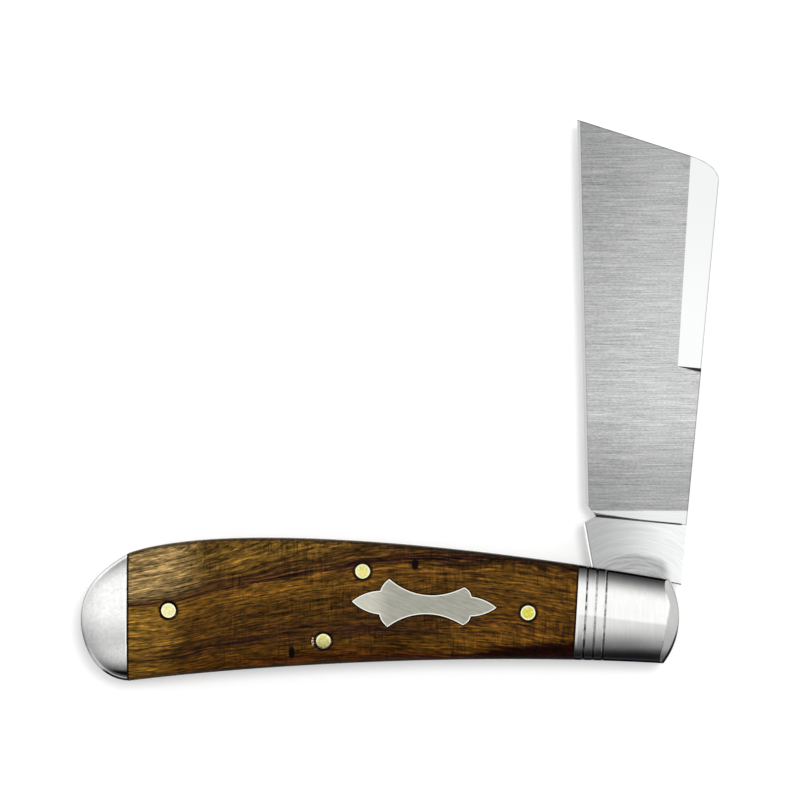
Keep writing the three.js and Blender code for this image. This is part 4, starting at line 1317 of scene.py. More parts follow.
# %% The shield's outline, along its own length
SHIELD_MIDDLE = Vector((-34.4, 2.14))
SHIELD_TILT = -2.5
SHIELD_LENGTH = 23.74
SHIELD_THICKNESS = 1.0
SHIELD_GAP = 0.2
SHIELD_RIM = 0.16
REAR_LOBE = Vector((4.57, 1.93))
REAR_EAR = Vector((1.43, 3.94))
FRONT_LOBE = Vector((4.17, 1.6))
FRONT_EAR = Vector((1.24, 3.1))
WAIST = Vector((11.0, 1.54))
# Where each arc is pulled to: a share of its run, and a share of its half width. The waist's are level.
REAR_LOBE_PULL, REAR_EAR_PULL, REAR_WAIST_PULL = (0.43, 0.9), (0.22, 0.8), 0.44
FRONT_LOBE_PULL, FRONT_EAR_PULL, FRONT_WAIST_PULL = (0.55, 0.9), (0.14, 0.84), 0.49
SHIELD_STEPS = 14

half_length = SHIELD_LENGTH / 2
rear_notch = -half_length + REAR_LOBE.x
rear_ear = rear_notch + REAR_EAR.x
front_notch = half_length - FRONT_LOBE.x
front_ear = front_notch - FRONT_EAR.x
waist = half_length - WAIST.x


def pulled(start, lobe, shares, way=1):
    """The pull of an arc, from where it starts: a share of a lobe's length and a share of its half width."""
    return start + way * lobe.x * shares[0], lobe.y * shares[1]


upper_arcs = [
    (pulled(-half_length, REAR_LOBE, REAR_LOBE_PULL), (rear_notch, REAR_LOBE.y)),
    (pulled(rear_notch, REAR_EAR, REAR_EAR_PULL), (rear_ear, REAR_EAR.y)),
    ((rear_ear + REAR_WAIST_PULL * (waist - rear_ear), WAIST.y), (waist, WAIST.y)),
    ((waist + FRONT_WAIST_PULL * (front_ear - waist), WAIST.y), (front_ear, FRONT_EAR.y)),
    (pulled(front_notch, FRONT_EAR, FRONT_EAR_PULL, -1), (front_notch, FRONT_LOBE.y)),
    (pulled(front_notch, FRONT_LOBE, FRONT_LOBE_PULL), (half_length, 0)),
]
print(f"shield {SHIELD_LENGTH} mm long, {2 * REAR_EAR.y:.1f} wide at its rear ears")


def shield_outline(name):
    """Both halves of the outline as one closed line. Two thirds of a pull make a quadratic arc cubic."""
    turn = Matrix.Rotation(math.radians(SHIELD_TILT), 2)
    rear_point = Vector((-half_length, 0))
    ends = [rear_point, *(Vector(end) for _, end in upper_arcs)]
    pulls = [Vector(pull) for pull, _ in upper_arcs]
    flip = Matrix(((1, 0), (0, -1)))
    places = ends + [flip @ end for end in ends[-2:0:-1]]
    pulls = pulls + [flip @ pull for pull in pulls[::-1]]
    knots = []
    for i, place in enumerate(places):
        lead_in = (pulls[i - 1] - place) * 2 / 3
        lead_out = (pulls[i] - place) * 2 / 3
        knots.append((turn @ place + SHIELD_MIDDLE, turn @ lead_in, turn @ lead_out))
    return drawn(name, knots, SHIELD_STEPS)


# %% [markdown]
# The shield gets two materials: the satin of its top, and a rim with a painted highlight, made by an
# inset of the top faces. The same outline, a little wider and a little less deep, is the tool for the
# recess in the wood.

# %% The shield, flush with the wood
FACES_UP = 0.9

shield_floor = COVER_HIGH - SHIELD_THICKNESS
shield = thickened(shield_outline("shield"), shield_floor, COVER_HIGH + 1)
combine(shield, twin_of(half_handle, "crown_for_shield"), "INTERSECT")
for material in (SHIELD_METAL, PAINTED_HIGHLIGHT_RIM):
    shield.data.materials.append(material)
with editing(shield):
    pick(shield, "faces", lambda face: face.normal.z > FACES_UP)
    bpy.ops.mesh.inset(thickness=SHIELD_RIM, use_even_offset=True, use_select_inset=True)
    # The rim's material is a painted highlight.
    shield.active_material_index = 1
    bpy.ops.object.material_slot_assign()
recess = thickened(shield_outline("recess"), shield_floor + SHIELD_GAP, COVER_HIGH + 1)
with editing(recess):
    bpy.ops.transform.shrink_fatten(value=SHIELD_GAP, use_even_offset=True)
finished(shield, "shield_inlay", "handle", SHIELD_METAL, ["shield"])

# %% [markdown]
# ## Covers
#
# The covers are what is left of the crowned plate between the bolsters. They are drilled for the pins,
# and the mark side has the recess for the shield. The holes are a trace wider than the pins: oil and
# polish leave a dark ring there on the real knife, and here the narrow gap makes it, helped by a painted
# shade of the gap in the wood round each hole.

# %% Drilling
def drilled(piece, places, radius, low, high, sides=72):
    """Drills round holes of one size, from one height to another."""
    for at in places:
        combine(piece, rod(at, radius, low, high, sides))
    return piece


# %% [markdown]
# Round the rear pin the hole is worn wider on one side, so a shallow second hole beside the first makes
# the dark ring thicker there. The shield's recess and that worn hole are on the mark side alone, so the
# pile side is copied before them.

# %% Covers of both sides
WORN_SIDE = Vector((-0.22, 0.16))
WORN_RADIUS = 1.62
WORN_DEPTH = 0.8
RIVET_SIDES = 24
COVER_EASE_ANGLE = 40

drill_from, drill_to = COVER_LOW - 1, COVER_HIGH + 1
cover = kept(twin_of(half_handle, "cover"), FRONT_JOINT - front_way * (JOINT_GAP / 2), -front_way)
kept(cover, REAR_JOINT - rearward * (JOINT_GAP / 2), -rearward)
drilled(cover, BRASS_PINS, PIN_RADIUS + HOLE_GAP, drill_from, drill_to)
cover_pile = pile_twin(cover, "cover_pile")
combine(cover, recess)
drilled(cover, SHIELD_RIVETS.values(), RIVET_RADIUS + PIN_CLEARANCE, drill_from, COVER_HIGH, RIVET_SIDES)
worn_hole = THROUGH_PINS["spring_rear_pin"] + WORN_SIDE
drilled(cover, [worn_hole], WORN_RADIUS, COVER_HIGH - WORN_DEPTH, drill_to)
for side, wood in (("mark", cover), ("pile", cover_pile)):
    eased(wood, FINE_EASE, COVER_EASE_ANGLE)
    finished(wood, f"cover_{side}_wood", "handle", WOOD, [f"cover_{side}"])

# %% [markdown]
# ## Pins
#
# A brass pin is hammered in and filed flush with the cover. Its end is therefore cut by the crown as the
# shield is, and its rim is a little rounded by the buffing wheel. The through pins show on both sides.

# %% Pin ends, flush with the crown
PIN_RIM = 0.14
PIN_RIM_ANGLE = 50
PIN_RIM_STEPS = 3

deep_plate = twin_of(half_handle, "deep_plate")
with editing(deep_plate):
    pick(deep_plate, "verts", lambda corner: corner.co.z < COVER_LOW + CLOSE)
    bpy.ops.transform.translate(value=(0, 0, MIDDLE_Z - COVER_LOW))


def flush_end(at, radius, low):
    """The mark end of a pin, from a height up to the crown."""
    return combine(rod(at, radius, low, COVER_HIGH + 1), twin_of(deep_plate, "crown_for_pin"), "INTERSECT")


def both_ends(half):
    """Joins the upper half of a pin to its mirror image, and takes out the faces between them."""
    lower = pile_twin(half, "lower_end")
    alone(half)
    lower.select_set(True)
    bpy.ops.object.join()
    with editing(half):
        pick(half, "faces", lambda face: abs(face.calc_center_median().z - MIDDLE_Z) < CLOSE)
        bpy.ops.mesh.delete(type="FACE")
        bpy.ops.mesh.select_all(action="SELECT")
        bpy.ops.mesh.remove_doubles(threshold=SAME_KNOT * 2)
    return half


def rimmed(pin):
    """Rounds a pin's rims."""
    return eased(pin, PIN_RIM, PIN_RIM_ANGLE, PIN_RIM_STEPS)


# %% [markdown]
# Cover pins are short and come in pairs. Through pins are one piece, so their two ends are joined.

# %% Brass pins
for name, at in COVER_PINS.items():
    pin = rimmed(flush_end(at, PIN_RADIUS, LINER_LOW))
    pile_pin = pile_twin(pin, name)
    finished(pin, f"{name}_mark_brass", "handle", PIN_BRASS, [f"{name}_mark"])
    finished(pile_pin, f"{name}_pile_brass", "handle", PIN_BRASS, [f"{name}_pile"])

for name, at in THROUGH_PINS.items():
    pin = rimmed(both_ends(flush_end(at, PIN_RADIUS, MIDDLE_Z)))
    finished(pin, f"{name}_brass", "handle", PIN_BRASS, [name])
bpy.data.objects.remove(deep_plate)
bpy.data.objects.remove(half_handle)

# %% [markdown]
# ## Pivot pin and rivets
#
# The pivot pin and the bolster rivets are nickel silver in nickel silver. They are hammered into the
# bolsters and ground with them until no trace is left, so the bolsters above stand for the rivets. The
# pivot pin is made, since the blade turns on it inside, but it ends just under the polished surface. The
# shield's two rivets are hidden under it, so they keep their CAD solids and only get the metal.

# %% The pivot pin, with the waist that its hammered ends leave
PIN_SHORT = 0.56
HEAD_LENGTH = 0.8
HEAD_SWELL = 0.03
HEAD_EASE = 0.1
HEAD_EASE_ANGLE = 50

pivot_pin = rod(PIVOT, PIVOT_PIN_RADIUS, PIN_SHORT, COVER_HIGH - PIN_SHORT)
with editing(pivot_pin):
    for height in (PIN_SHORT + HEAD_LENGTH, COVER_HIGH - PIN_SHORT - HEAD_LENGTH):
        bpy.ops.mesh.select_all(action="SELECT")
        bpy.ops.mesh.bisect(plane_co=(0, 0, height), plane_no=(0, 0, 1))
    pick(pivot_pin, "verts", lambda corner: abs(corner.co.z - MIDDLE_Z) > MIDDLE_Z - PIN_SHORT - CLOSE)
    swell = 1 + HEAD_SWELL / PIVOT_PIN_RADIUS
    bpy.ops.transform.resize(value=(swell, swell, 1), center_override=(0, 0, MIDDLE_Z))
eased(pivot_pin, HEAD_EASE, HEAD_EASE_ANGLE)
finished(pivot_pin, "pivot_pin_turned", "handle", NICKEL_SILVER, ["pivot_pin"])
for name in SHIELD_RIVETS:
    nodes[name].data.materials.clear()
    nodes[name].data.materials.append(NICKEL_SILVER)

# %% [markdown]
# ## Liners
#
# Two brass liners, a millimetre thick, carry everything. They are the plain outline of the handle with
# the holes for the brass pins and the pivot pin, and they show as a thin line along the handle's edge.

# %% Liners of both sides
LINER_HIGH = box_mm("liner_mark")[1].z

liner = thickened(handle_outline("liner"), LINER_LOW, LINER_HIGH)
drilled(liner, BRASS_PINS, PIN_RADIUS + PIN_CLEARANCE, LINER_LOW - 1, LINER_HIGH + 1)
drilled(liner, [PIVOT], PIVOT_PIN_RADIUS + PIN_CLEARANCE, LINER_LOW - 1, LINER_HIGH + 1)
eased(liner, FINE_EASE)
liner_pile = pile_twin(liner, "liner_pile")
for side, brass in (("mark", liner), ("pile", liner_pile)):
    finished(brass, f"liner_{side}_brass", "handle", LINER_BRASS, [f"liner_{side}"])

# %% [markdown]
# ## Backspring
#
# The spring is the knife's whole back. Its upper edge inside the handle presses on the tang, and its
# outer edge is the handle's lower outline. So it is the handle's outline, trimmed by the line that it
# keeps under the tang, along the well's floor, and up the inside of the butt.

# %% The spring's inner line
SEAT_DROP = 5.4
SEAT_SLOPE = 1.0
SEAT_LENGTH = 24.0
SPRING_NOSE_X = 5.88
SPRING_NOSE_LEAN = 9.3
SPRING_WEB = 1.45
BUTT_WALL = 6.6
WELL_END_RADIUS = 1.5
TIP_FLOOR_HEIGHT = 5.34
SEAT_PULL = Vector((-8.5, 0.3))
CENTER_PULLS = Vector((8.8, -1.0)), Vector((-8.4, 0.95))
REAR_PULLS = Vector((8.2, -1.8)), Vector((-2.4, 0.5))
FLOOR_PULL = Vector((2.0, -0.5))
QUARTER_ARC_PULL = 0.55
FAR = 200.0

seat_slope = math.tan(math.radians(SEAT_SLOPE))
nose_slope = math.tan(math.radians(SPRING_NOSE_LEAN))
nose_seat = Vector((SPRING_NOSE_X, -SEAT_DROP - SPRING_NOSE_X * seat_slope))
seat_end = Vector((-SEAT_LENGTH, -SEAT_DROP + SEAT_LENGTH * seat_slope))
over_pin = Vector((0, PIN_RADIUS + SPRING_WEB))
well_end_x = BUTT_X + BUTT_WALL
floor_end = Vector((well_end_x + WELL_END_RADIUS, TIP_FLOOR_HEIGHT))
corner_pull = Vector((-WELL_END_RADIUS, 0)) * QUARTER_ARC_PULL
spring_knots = [
    (nose_seat, None, None),
    (seat_end, None, SEAT_PULL),
    (THROUGH_PINS["spring_center_pin"] + over_pin, *CENTER_PULLS),
    (THROUGH_PINS["spring_rear_pin"] + over_pin, *REAR_PULLS),
    (floor_end, FLOOR_PULL, corner_pull),
    (Vector((well_end_x, TIP_FLOOR_HEIGHT + WELL_END_RADIUS)), corner_pull.orthogonal(), None),
    (Vector((well_end_x, FAR)), None, None),
    (Vector((-FAR, FAR)), None, None),
    (Vector((-FAR, -FAR)), None, None),
    (nose_seat + Vector((-nose_slope, -1)) * FAR, None, None),
]
print(f"seat from x = {nose_seat.x:.1f} to x = {seat_end.x:.1f}, {SEAT_DROP} mm below the pivot")

# %% [markdown]
# The spring fills the whole well between the liners, so it is a trace thicker than the blade.

# %% The backspring
SPRING_EXTRA = 0.05
LINE_STEPS = 16

spring = thickened(handle_outline("spring"), BLADE_LOW - SPRING_EXTRA, BLADE_HIGH + SPRING_EXTRA)
combine(spring, thickened(drawn("spring_side", spring_knots, LINE_STEPS), 0, COVER_HIGH), "INTERSECT")
drilled(spring, THROUGH_PINS.values(), PIN_RADIUS + PIN_CLEARANCE, 0, COVER_HIGH)
eased(spring, SOFT_EASE)
finished(spring, "backspring_polished", "handle", SPRING_STEEL, ["backspring"])

# %% [markdown]
# ## Blade
#
# The blade is one piece of steel: the tang that turns inside the handle, and beyond the notch the ground
# part. Its outline is drawn at the half stop, but the places where it meets the spring are known where it
# lies closed or open. So those are turned here by the joint's own limits, which come with the frame.

# %% The blade's corners, turned to the half stop
OPEN_SWING, CLOSE_SWING = (abs(limit) for limit in frame["joints"][0]["range_deg"])
SEAT_GAP = 0.06
STEP_GAP = 0.15
TIP_GAP = 2.04
TIP_Y_CLOSED = 6.64
HEEL_CLOSED = (-19.91, -4.04)
NOTCH_CLOSED = (-17.41, -2.81)
KICK_SHOULDER_CLOSED = (-16.78, -4.79)
KICK_X_CLOSED = -16.26
END_SLOPE = 17.8
SPINE_SLOPE_OPEN = 2.4
SHOULDER_ALONG_END = 5.2
SHOULDER_ALONG_SPINE = 2.8
TANG_CORNER_EASE = 1.2


def turned(point, degrees):
    """A point turned about the pivot."""
    return Matrix.Rotation(math.radians(degrees), 2) @ Vector(point)


def crossing(first, first_degrees, second, second_degrees):
    """Where the line through one point at a heading crosses the line through another."""
    a, b = heading(first_degrees), heading(second_degrees)
    return first + a * ((second - first).cross(b) / a.cross(b))


def from_closed(point):
    """Where a point of the closed blade lies at the half stop."""
    return turned(point, -CLOSE_SWING)


def from_open(point):
    """Where a point of the open blade lies at the half stop."""
    return turned(point, OPEN_SWING)


tip = from_closed((BUTT_X + BUTT_WALL + TIP_GAP, TIP_Y_CLOSED))
heel = from_closed(HEEL_CLOSED)
notch = from_closed(NOTCH_CLOSED)
kick_shoulder = from_closed(KICK_SHOULDER_CLOSED)
kick = from_closed((KICK_X_CLOSED, -SEAT_DROP + SEAT_GAP - KICK_X_CLOSED * seat_slope))
spine_way = OPEN_SWING - SPINE_SLOPE_OPEN
spine_foot = from_open(nose_bottom)
spine_end = crossing(tip, -END_SLOPE, spine_foot, spine_way)
edge_way = way_of(tip - heel)

step_point = from_open((SPRING_NOSE_X + STEP_GAP, -SEAT_DROP))
step_way = OPEN_SWING + 90 - SPRING_NOSE_LEAN
seat = Vector((0, -SEAT_DROP + SEAT_GAP))
flats = [
    (from_closed(seat), -SEAT_SLOPE - CLOSE_SWING),
    (seat, -SEAT_SLOPE),
    (from_open(seat), -SEAT_SLOPE + OPEN_SWING),
]
print(f"blade {tip.length:.1f} mm from the pivot to its tip, spine at {spine_way:.1f} degrees")

# %% [markdown]
# A corner that is eased becomes two knots. A quadratic curve pulled by the old corner joins them, and two
# thirds of the way to that corner is where its handles end.

# %% The blade's outline, and the stock that it is cut from
def rounded(corner, before, after, run_in, run_out):
    """The two knots of an eased corner, each at its own run from it."""
    start = corner + (before - corner).normalized() * run_in
    end = corner + (after - corner).normalized() * run_out
    return [(start, None, (corner - start) * 2 / 3), (end, (corner - end) * 2 / 3, None)]


low_corner = crossing(*flats[0], *flats[1])
nose_corner = crossing(*flats[1], *flats[2])
step_inner = crossing(*flats[2], step_point, step_way)
rounded_start = spine_end + (spine_foot - spine_end).normalized() * SHOULDER_ALONG_SPINE
rounded_end = spine_end + (tip - spine_end).normalized() * SHOULDER_ALONG_END
step_outer = crossing(spine_foot, spine_way, step_point, step_way)
blade_knots = [
    (kick, None, None),
    *rounded(low_corner, kick, nose_corner, TANG_CORNER_EASE, TANG_CORNER_EASE),
    *rounded(nose_corner, low_corner, step_inner, TANG_CORNER_EASE, TANG_CORNER_EASE),
    (step_inner, None, None),
    (step_outer, None, None),
    *rounded(spine_end, step_outer, tip, SHOULDER_ALONG_SPINE, SHOULDER_ALONG_END),
    (tip, None, None),
    (heel, None, None),
    (notch, None, None),
    (kick_shoulder, None, None),
]
blade = thickened(drawn("blade", blade_knots, LINE_STEPS), BLADE_LOW, BLADE_HIGH)
print(f"blade's stock: {len(blade_knots)} knots, {BLADE_HIGH - BLADE_LOW:.1f} mm thick")

# %% [markdown]
# The grinding wheel leaves a section that stays the same all along the edge: a sharpened bevel, a long
# flat, and then the full stock. The tang keeps the full stock up to the plunge line, where the grind
# starts in a hollow curve. Both sections become long bars. What the stock shares with either bar is the
# ground blade.

# %% Two bars, for the flat grind and for the tang
EDGE_HALF = 0.05
BEVEL_WIDTH = 0.5
BEVEL_HALF = 0.25
GRIND_WIDTH = 18.5
PLUNGE_RUN = 1.6
HOLLOW_STEPS = 14
stock_half = (BLADE_HIGH - BLADE_LOW) / 2


def bar(name, upper, start, degrees):
    """A long bar. Its section is given right of the heading, for the upper half, and mirrored below."""
    section = [*upper, *((x, -y) for x, y in reversed(upper))]
    piece = thickened(drawn(name, [(Vector(corner), None, None) for corner in section]), -FAR, FAR)
    piece.rotation_euler = (math.radians(90), 0, math.radians(degrees - 90))
    piece.location = (start.x, start.y, MIDDLE_Z)
    return placed(piece)


grind_upper = [
    (-FAR, EDGE_HALF),
    (0, EDGE_HALF),
    (BEVEL_WIDTH, BEVEL_HALF),
    (GRIND_WIDTH, stock_half),
    (FAR, stock_half),
]
hollow_fall = stock_half - EDGE_HALF / 2
hollow = []
for step in range(HOLLOW_STEPS, 0, -1):
    share = step / HOLLOW_STEPS
    hollow.append((-share * PLUNGE_RUN, stock_half - hollow_fall * math.sqrt(1 - (1 - share) ** 2)))
bars = bar("grind", grind_upper, heel, edge_way)
combine(bars, bar("tang", [*hollow, (0, stock_half), (FAR, stock_half)], notch, spine_way - 90), "UNION")
combine(blade, bars, "INTERSECT")
print(f"ground blade: {len(blade.data.polygons)} faces")

# %% [markdown]
# The false edge is a flat that a stone cuts along the outer part of the spine. A large block is laid with
# one face on that flat and its end on the line where the stone stops, and is then cut away from the
# blade. Three points give the flat: two on its border with the grind, and one on the thinned spine.

# %% The false edge, cut on both faces
SWEDGE_FROM_END = 33.6
SWEDGE_WALL_TILT = 42.0
SWEDGE_LOW_WIDTH = 3.88
SWEDGE_END_WIDTH = 5.0
SWEDGE_SPINE_HALF = 0.6
BLADE_EASE_ANGLE = 50

spine_heading = heading(spine_way)
inward = heading(spine_way + 90)
swedge_low = spine_end - spine_heading * SWEDGE_FROM_END
border_low = swedge_low + inward * SWEDGE_LOW_WIDTH
border_end = spine_end + inward * SWEDGE_END_WIDTH


def grind_half(point):
    """Half the thickness that the flat grind leaves at a place."""
    across = (point - heel).dot(heading(edge_way - 90))
    share = min(1, (across - BEVEL_WIDTH) / (GRIND_WIDTH - BEVEL_WIDTH))
    return BEVEL_HALF + (stock_half - BEVEL_HALF) * share


def swedge_block(side):
    """The block above the flat, or below it when the side is -1."""
    def raised(point, half):
        """A place on this side's face, where the blade is twice that half thick."""
        return Vector((point.x, point.y, MIDDLE_Z + side * half))

    a = raised(border_low, grind_half(border_low))
    b = raised(border_end, grind_half(border_end))
    c = raised(spine_end, SWEDGE_SPINE_HALF)
    normal = (b - a).cross(c - a).normalized()
    if normal.z * side < 0:
        normal = -normal
    block = added(bpy.ops.mesh.primitive_cube_add, size=FAR)
    block.rotation_euler = Vector((0, 0, 1)).rotation_difference(normal).to_euler()
    block.location = a + normal * (FAR / 2)
    foot = raised(swedge_low, SWEDGE_SPINE_HALF)
    along_foot = (a - foot).normalized()
    tilt = math.radians(SWEDGE_WALL_TILT)
    wall = spine_heading.to_3d() * math.sin(tilt) + Vector((0, 0, side * math.cos(tilt)))
    return kept(placed(block), foot, wall - along_foot * wall.dot(along_foot))


for side in (1, -1):
    combine(blade, swedge_block(side))
    print(f"false edge cut: {len(blade.data.polygons)} faces")
drilled(blade, [PIVOT], PIVOT_PIN_RADIUS + PIN_CLEARANCE, 0, COVER_HIGH)
eased(blade, FINE_EASE, BLADE_EASE_ANGLE)

# %% [markdown]
# The blade's steel is one material with several finishes. Above the plunge line it has the belt's long
# satin lines, which all run straight across the blade. Between them and the line is a polished strip. The
# false edge is a mirror, the tang is buffed in arcs about the pivot, and the narrow bevel along the edge gets
# a painted highlight. Each finish has its mask, and every mask is a distance to a line that the blade was
# drawn with.

# %% Distances to the blade's own lines
def left_of(x, y, point, degrees):
    """How far a place lies to the left of the line through a point, in millimetres."""
    way = heading(degrees)
    return (y - point.y) * way.x - (x - point.x) * way.y


def between(distance, start, end, soft=0.04):
    """1 between two distances, and 0 outside them."""
    return distance.rises(start - soft, start + soft) * distance.rises(end + soft, end - soft)


def from_spine(x, y):
    """How far inside the outline a place lies, along the spine and round its eased end.

    The eased end is taken as four of the tangents that touch its curve.
    """
    nearest = left_of(x, y, spine_foot, spine_way)
    shoulder = [rounded_start, spine_end, rounded_end]
    for share in (0.25, 0.5, 0.75, 1.0):
        first, second = (a.lerp(b, share) for a, b in zip(shoulder, shoulder[1:]))
        nearest = nearest.or_less(left_of(x, y, first.lerp(second, share), way_of(second - first)))
    return nearest


# %% [markdown]
# The satin's belt leaves lines of three kinds: fine ones all over, a broad unevenness, and single
# scratches that are darker or lighter than the rest. The light falls off towards the heel, and that is
# painted in, so the satin gets darker and lighter again along the blade. The tang gets a painted shadow
# towards the pivot and a painted highlight along its kick.

# %% Tones of the satin, the tang and the bevel
SATIN_TONE = 0.35
# Painted light on the satin: it grows and falls along the blade and towards the spine, and on the strip too.
SATIN_MIDDLE, SATIN_MIDDLE_SHARE = (82.0, 38.0), 0.19
SATIN_HEEL, SATIN_HEEL_SHARE = (34.0, 21.0), 0.2
SATIN_SPINE, SATIN_SPINE_SHARE = (-8.0, 6.0), 0.1
FINE_TONE, BROAD_TONE = 1.35, 0.2
STRIP_TONE, STRIP_SPINE, STRIP_SPINE_SHARE, STRIP_FINE = 0.66, (-6.0, 6.0), 0.18, 0.25
TANG_TONE, TANG_ACROSS, TANG_ACROSS_SHARE = 0.45, (-7.0, 8.0), 0.44
# A painted shadow about the pivot, and a painted highlight with a painted shade line along the kick.
TANG_SHADOW, SHADOW_RADII, SHADOW_ALONG, SHADOW_SHARE = 0.42, (10.9, 9.9), (6.6, 4.6), 0.9
ARC_TONE = 0.5
KICK_PAINTED_HIGHLIGHT, KICK_PAINTED_SHADE_LINE, KICK_LINE_SHARE = (0.3, 0.22), (0.28, 0.42), 0.5
BEVEL_PAINTED_HIGHLIGHT, BEVEL_EDGE = 0.62, (BEVEL_WIDTH + 0.03, BEVEL_WIDTH - 0.05)
BEVEL_PAINTED_SHADE_LINE, BEVEL_LINE_SHARE = (BEVEL_WIDTH, BEVEL_WIDTH + 0.12), 0.25


def satin_tones(x, y, fine, broad, marks):
    """The satin and the polished strip below it, each with painted light that changes over the blade."""
    satin = SATIN_TONE + y.rises(*SATIN_MIDDLE) * SATIN_MIDDLE_SHARE
    satin = satin - y.rises(*SATIN_HEEL) * SATIN_HEEL_SHARE + x.rises(*SATIN_SPINE) * SATIN_SPINE_SHARE
    satin = satin * (1 + (fine - 0.5) * FINE_TONE + (broad - 0.5) * BROAD_TONE + marks)
    strip = STRIP_TONE + x.rises(*STRIP_SPINE) * STRIP_SPINE_SHARE
    return satin, strip * (1 + (fine - 0.5) * STRIP_FINE)


def tang_tones(x, y, radius, arcs):
    """The tang, with a painted shadow about the pivot and a painted highlight along the kick beside a painted
    shade line.
    """
    inner = radius.rises(*SHADOW_RADII) * x.rises(*SHADOW_ALONG)
    from_kick = left_of(x, y, *flats[0])
    tone = TANG_TONE + x.rises(*TANG_ACROSS) * TANG_ACROSS_SHARE
    tone = tone.towards(TANG_SHADOW, inner * SHADOW_SHARE) * (1 + (arcs - 0.5) * (ARC_TONE + inner))
    tone = tone.towards(1, from_kick.rises(*KICK_PAINTED_HIGHLIGHT))
    return tone * (1 - between(from_kick, *KICK_PAINTED_SHADE_LINE) * KICK_LINE_SHARE)


def with_bevel(tone, x, y):
    """A painted highlight on the bevel along the edge, with a thin painted shade line above it."""
    from_edge = -1.0 * left_of(x, y, heel, edge_way)
    tone = tone.towards(BEVEL_PAINTED_HIGHLIGHT, from_edge.rises(*BEVEL_EDGE))
    return tone * (1 - between(from_edge, *BEVEL_PAINTED_SHADE_LINE) * BEVEL_LINE_SHARE)


print(f"bevel {BEVEL_WIDTH} mm wide, lighter than the satin by {BEVEL_PAINTED_HIGHLIGHT - SATIN_TONE:.2f}")

# %% [markdown]
# Where two ground faces meet, a dark line of shade is painted on the steel: along the plunge, at the wall
# where the false edge stops, at the step on the tang and, faintly, along the spine.

# %% Painted shade lines between the faces
PLUNGE_LINE, PLUNGE_NARROWING, PLUNGE_NARROWS = 0.3, 0.14, (-5.0, 2.0)
PLUNGE_START, PLUNGE_END, PLUNGE_SHARE = (-0.16, -0.1), (8.3, 7.8), 0.9
LINE_SOFT = (0.04, -0.04)
WALL_SPAN, WALL_SLOPE, WALL_EDGE, WALL_SHARE = (0.1, 9.0), 0.15, (-0.1, 0.0), 0.92
STEP_LINE, STEP_FROM_X, STEP_SHARE = (0.24, 0.14), (6.2, 6.5), 0.85
SPINE_LINE, SPINE_SHARE = (0.22, 0.12), 0.4


def painted_shade_lines(x, y, above, ground, across, outward):
    """Painted shade: a tone that is low on the lines and 1 elsewhere."""
    width = PLUNGE_LINE - x.rises(*PLUNGE_NARROWS) * PLUNGE_NARROWING
    plunge = above.rises(*PLUNGE_START) * (above - width).rises(*LINE_SOFT) * x.rises(*PLUNGE_END)
    wall = between(across, *WALL_SPAN) * outward.rises(*LINE_SOFT)
    wall = wall * (outward + across * WALL_SLOPE).rises(*WALL_EDGE)
    from_step = -1.0 * left_of(x, y, step_point, step_way)
    step = from_step.rises(*STEP_LINE) * x.rises(*STEP_FROM_X)
    spine = from_spine(x, y).rises(*SPINE_LINE) * ground
    tone = (1 - plunge * PLUNGE_SHARE) * (1 - wall * WALL_SHARE)
    return tone * (1 - step * STEP_SHARE) * (1 - spine * SPINE_SHARE)


print(f"plunge line {PLUNGE_LINE} mm wide, {PLUNGE_LINE - PLUNGE_NARROWING:.2f} at the spine")

# %% [markdown]
# Now the tones are laid over each other from the masks: the strip under the satin, the bevel over both,
# the tang below the plunge line, and the mirror of the false edge on top.

# %% Blade steel: satin across, polished along the false edge and on the tang
# Each noise: how fine it is along x and along y, its detail and its roughness.
STEEL_NOISES = {
    "fine": (1 / 9, 6.2, 2.0, 0.8),
    "broad": (1 / 40, 1.6, 2.0, 0.7),
    "scratch": (1 / 6, 5.4, 1.0, 0.5),
    "grit": (2.2, 6.5, 1.0, 0.5),
}
ARCS_PER_MM, ARC_CHANGES = 3.2, 2
SATIN_START, SATIN_SOFT = 0.95, (-0.15, 0.1)
FACE_EDGE, GROUND_EDGE = (-0.04, 0.04), (-0.03, 0.03)
MIRROR_TONE, MIRROR_FADES, MIRROR_FADE = 0.93, (45.0, 72.0), 0.07
GRIT_TONE, SCRATCH_MARKS = 0.75, (0.16, 0.24, 0.26, 0.3)
STEEL_TINT = (0.985, 1.0, 0.99, 1)
POLISHED_ROUGHNESS, SATIN_ROUGHNESS, MIRROR_SMOOTHNESS, FINE_ROUGHNESS = 0.2, 0.14, 0.13, 0.16
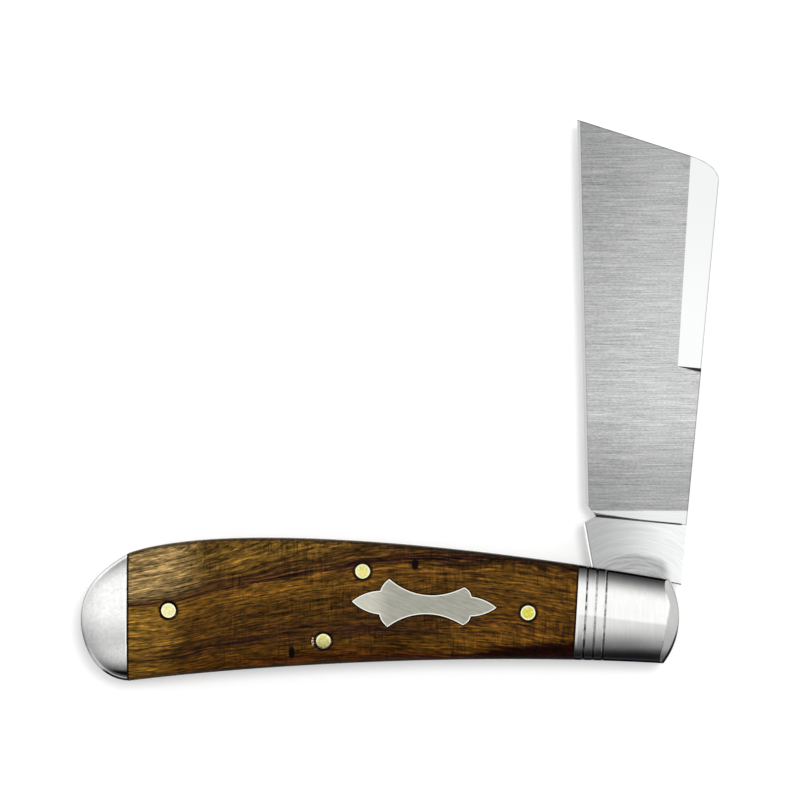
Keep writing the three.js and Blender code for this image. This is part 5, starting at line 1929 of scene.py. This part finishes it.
SATIN_DEPTH, FINE_RELIEF, SCRATCH_RELIEF = 0.003, 0.7, 0.3
BLADE_SMOOTH = 14


def blade_steel():
    """The blade's material, with all its finishes."""
    steel = Finish("blade_steel")
    x, y, z = steel.place()
    radius = (x * x + y * y) ** 0.5
    fine, broad, scratch, grit = (
        steel.noise(x * along_x, y * along_y, z, *rest) for along_x, along_y, *rest in STEEL_NOISES.values()
    )
    arcs = steel.noise(radius * ARCS_PER_MM, y.maths("ARCTAN2", y, x) * ARC_CHANGES, z, 3.0, 0.8)
    marks = (grit - 0.5) * GRIT_TONE - crisp(scratch, *SCRATCH_MARKS)

    above = left_of(x, y, notch, spine_way - 90)
    ground = above.rises(*GROUND_EDGE)
    satin = y.rises(*(notch.y + SATIN_START + soft for soft in SATIN_SOFT))
    across = -1.0 * left_of(x, y, border_low, way_of(border_end - border_low))
    outward = left_of(x, y, swedge_low, spine_way - 90)
    swedge = across.rises(*FACE_EDGE) * outward.rises(*FACE_EDGE)

    satin_tone, strip_tone = satin_tones(x, y, fine, broad, marks)
    tone = with_bevel(strip_tone.towards(satin_tone, satin), x, y)
    tone = tang_tones(x, y, radius, arcs).towards(tone, ground)
    tone = tone.towards(MIRROR_TONE - y.rises(*MIRROR_FADES) * MIRROR_FADE, swedge)
    # The painted shade lines between the faces.
    tone = tone * painted_shade_lines(x, y, above, ground, across, outward)
    satin_only = satin * (1 - swedge)
    height = (fine * FINE_RELIEF + scratch * SCRATCH_RELIEF) * satin_only + arcs * (1 - ground)
    roughness = POLISHED_ROUGHNESS + satin_only * ground * SATIN_ROUGHNESS - swedge * MIRROR_SMOOTHNESS
    return steel.surface(
        {"Metallic": 1.0},
        {
            "Base Color": steel.shaded(STEEL_TINT, tone),
            "Roughness": roughness + (fine - 0.5) * satin * FINE_ROUGHNESS,
            "Normal": steel.bump(height, SATIN_DEPTH),
        },
    )


BLADE_STEEL = blade_steel()
finished(blade, "blade_ground", "blade", BLADE_STEEL, ["blade"], smooth_below=BLADE_SMOOTH)
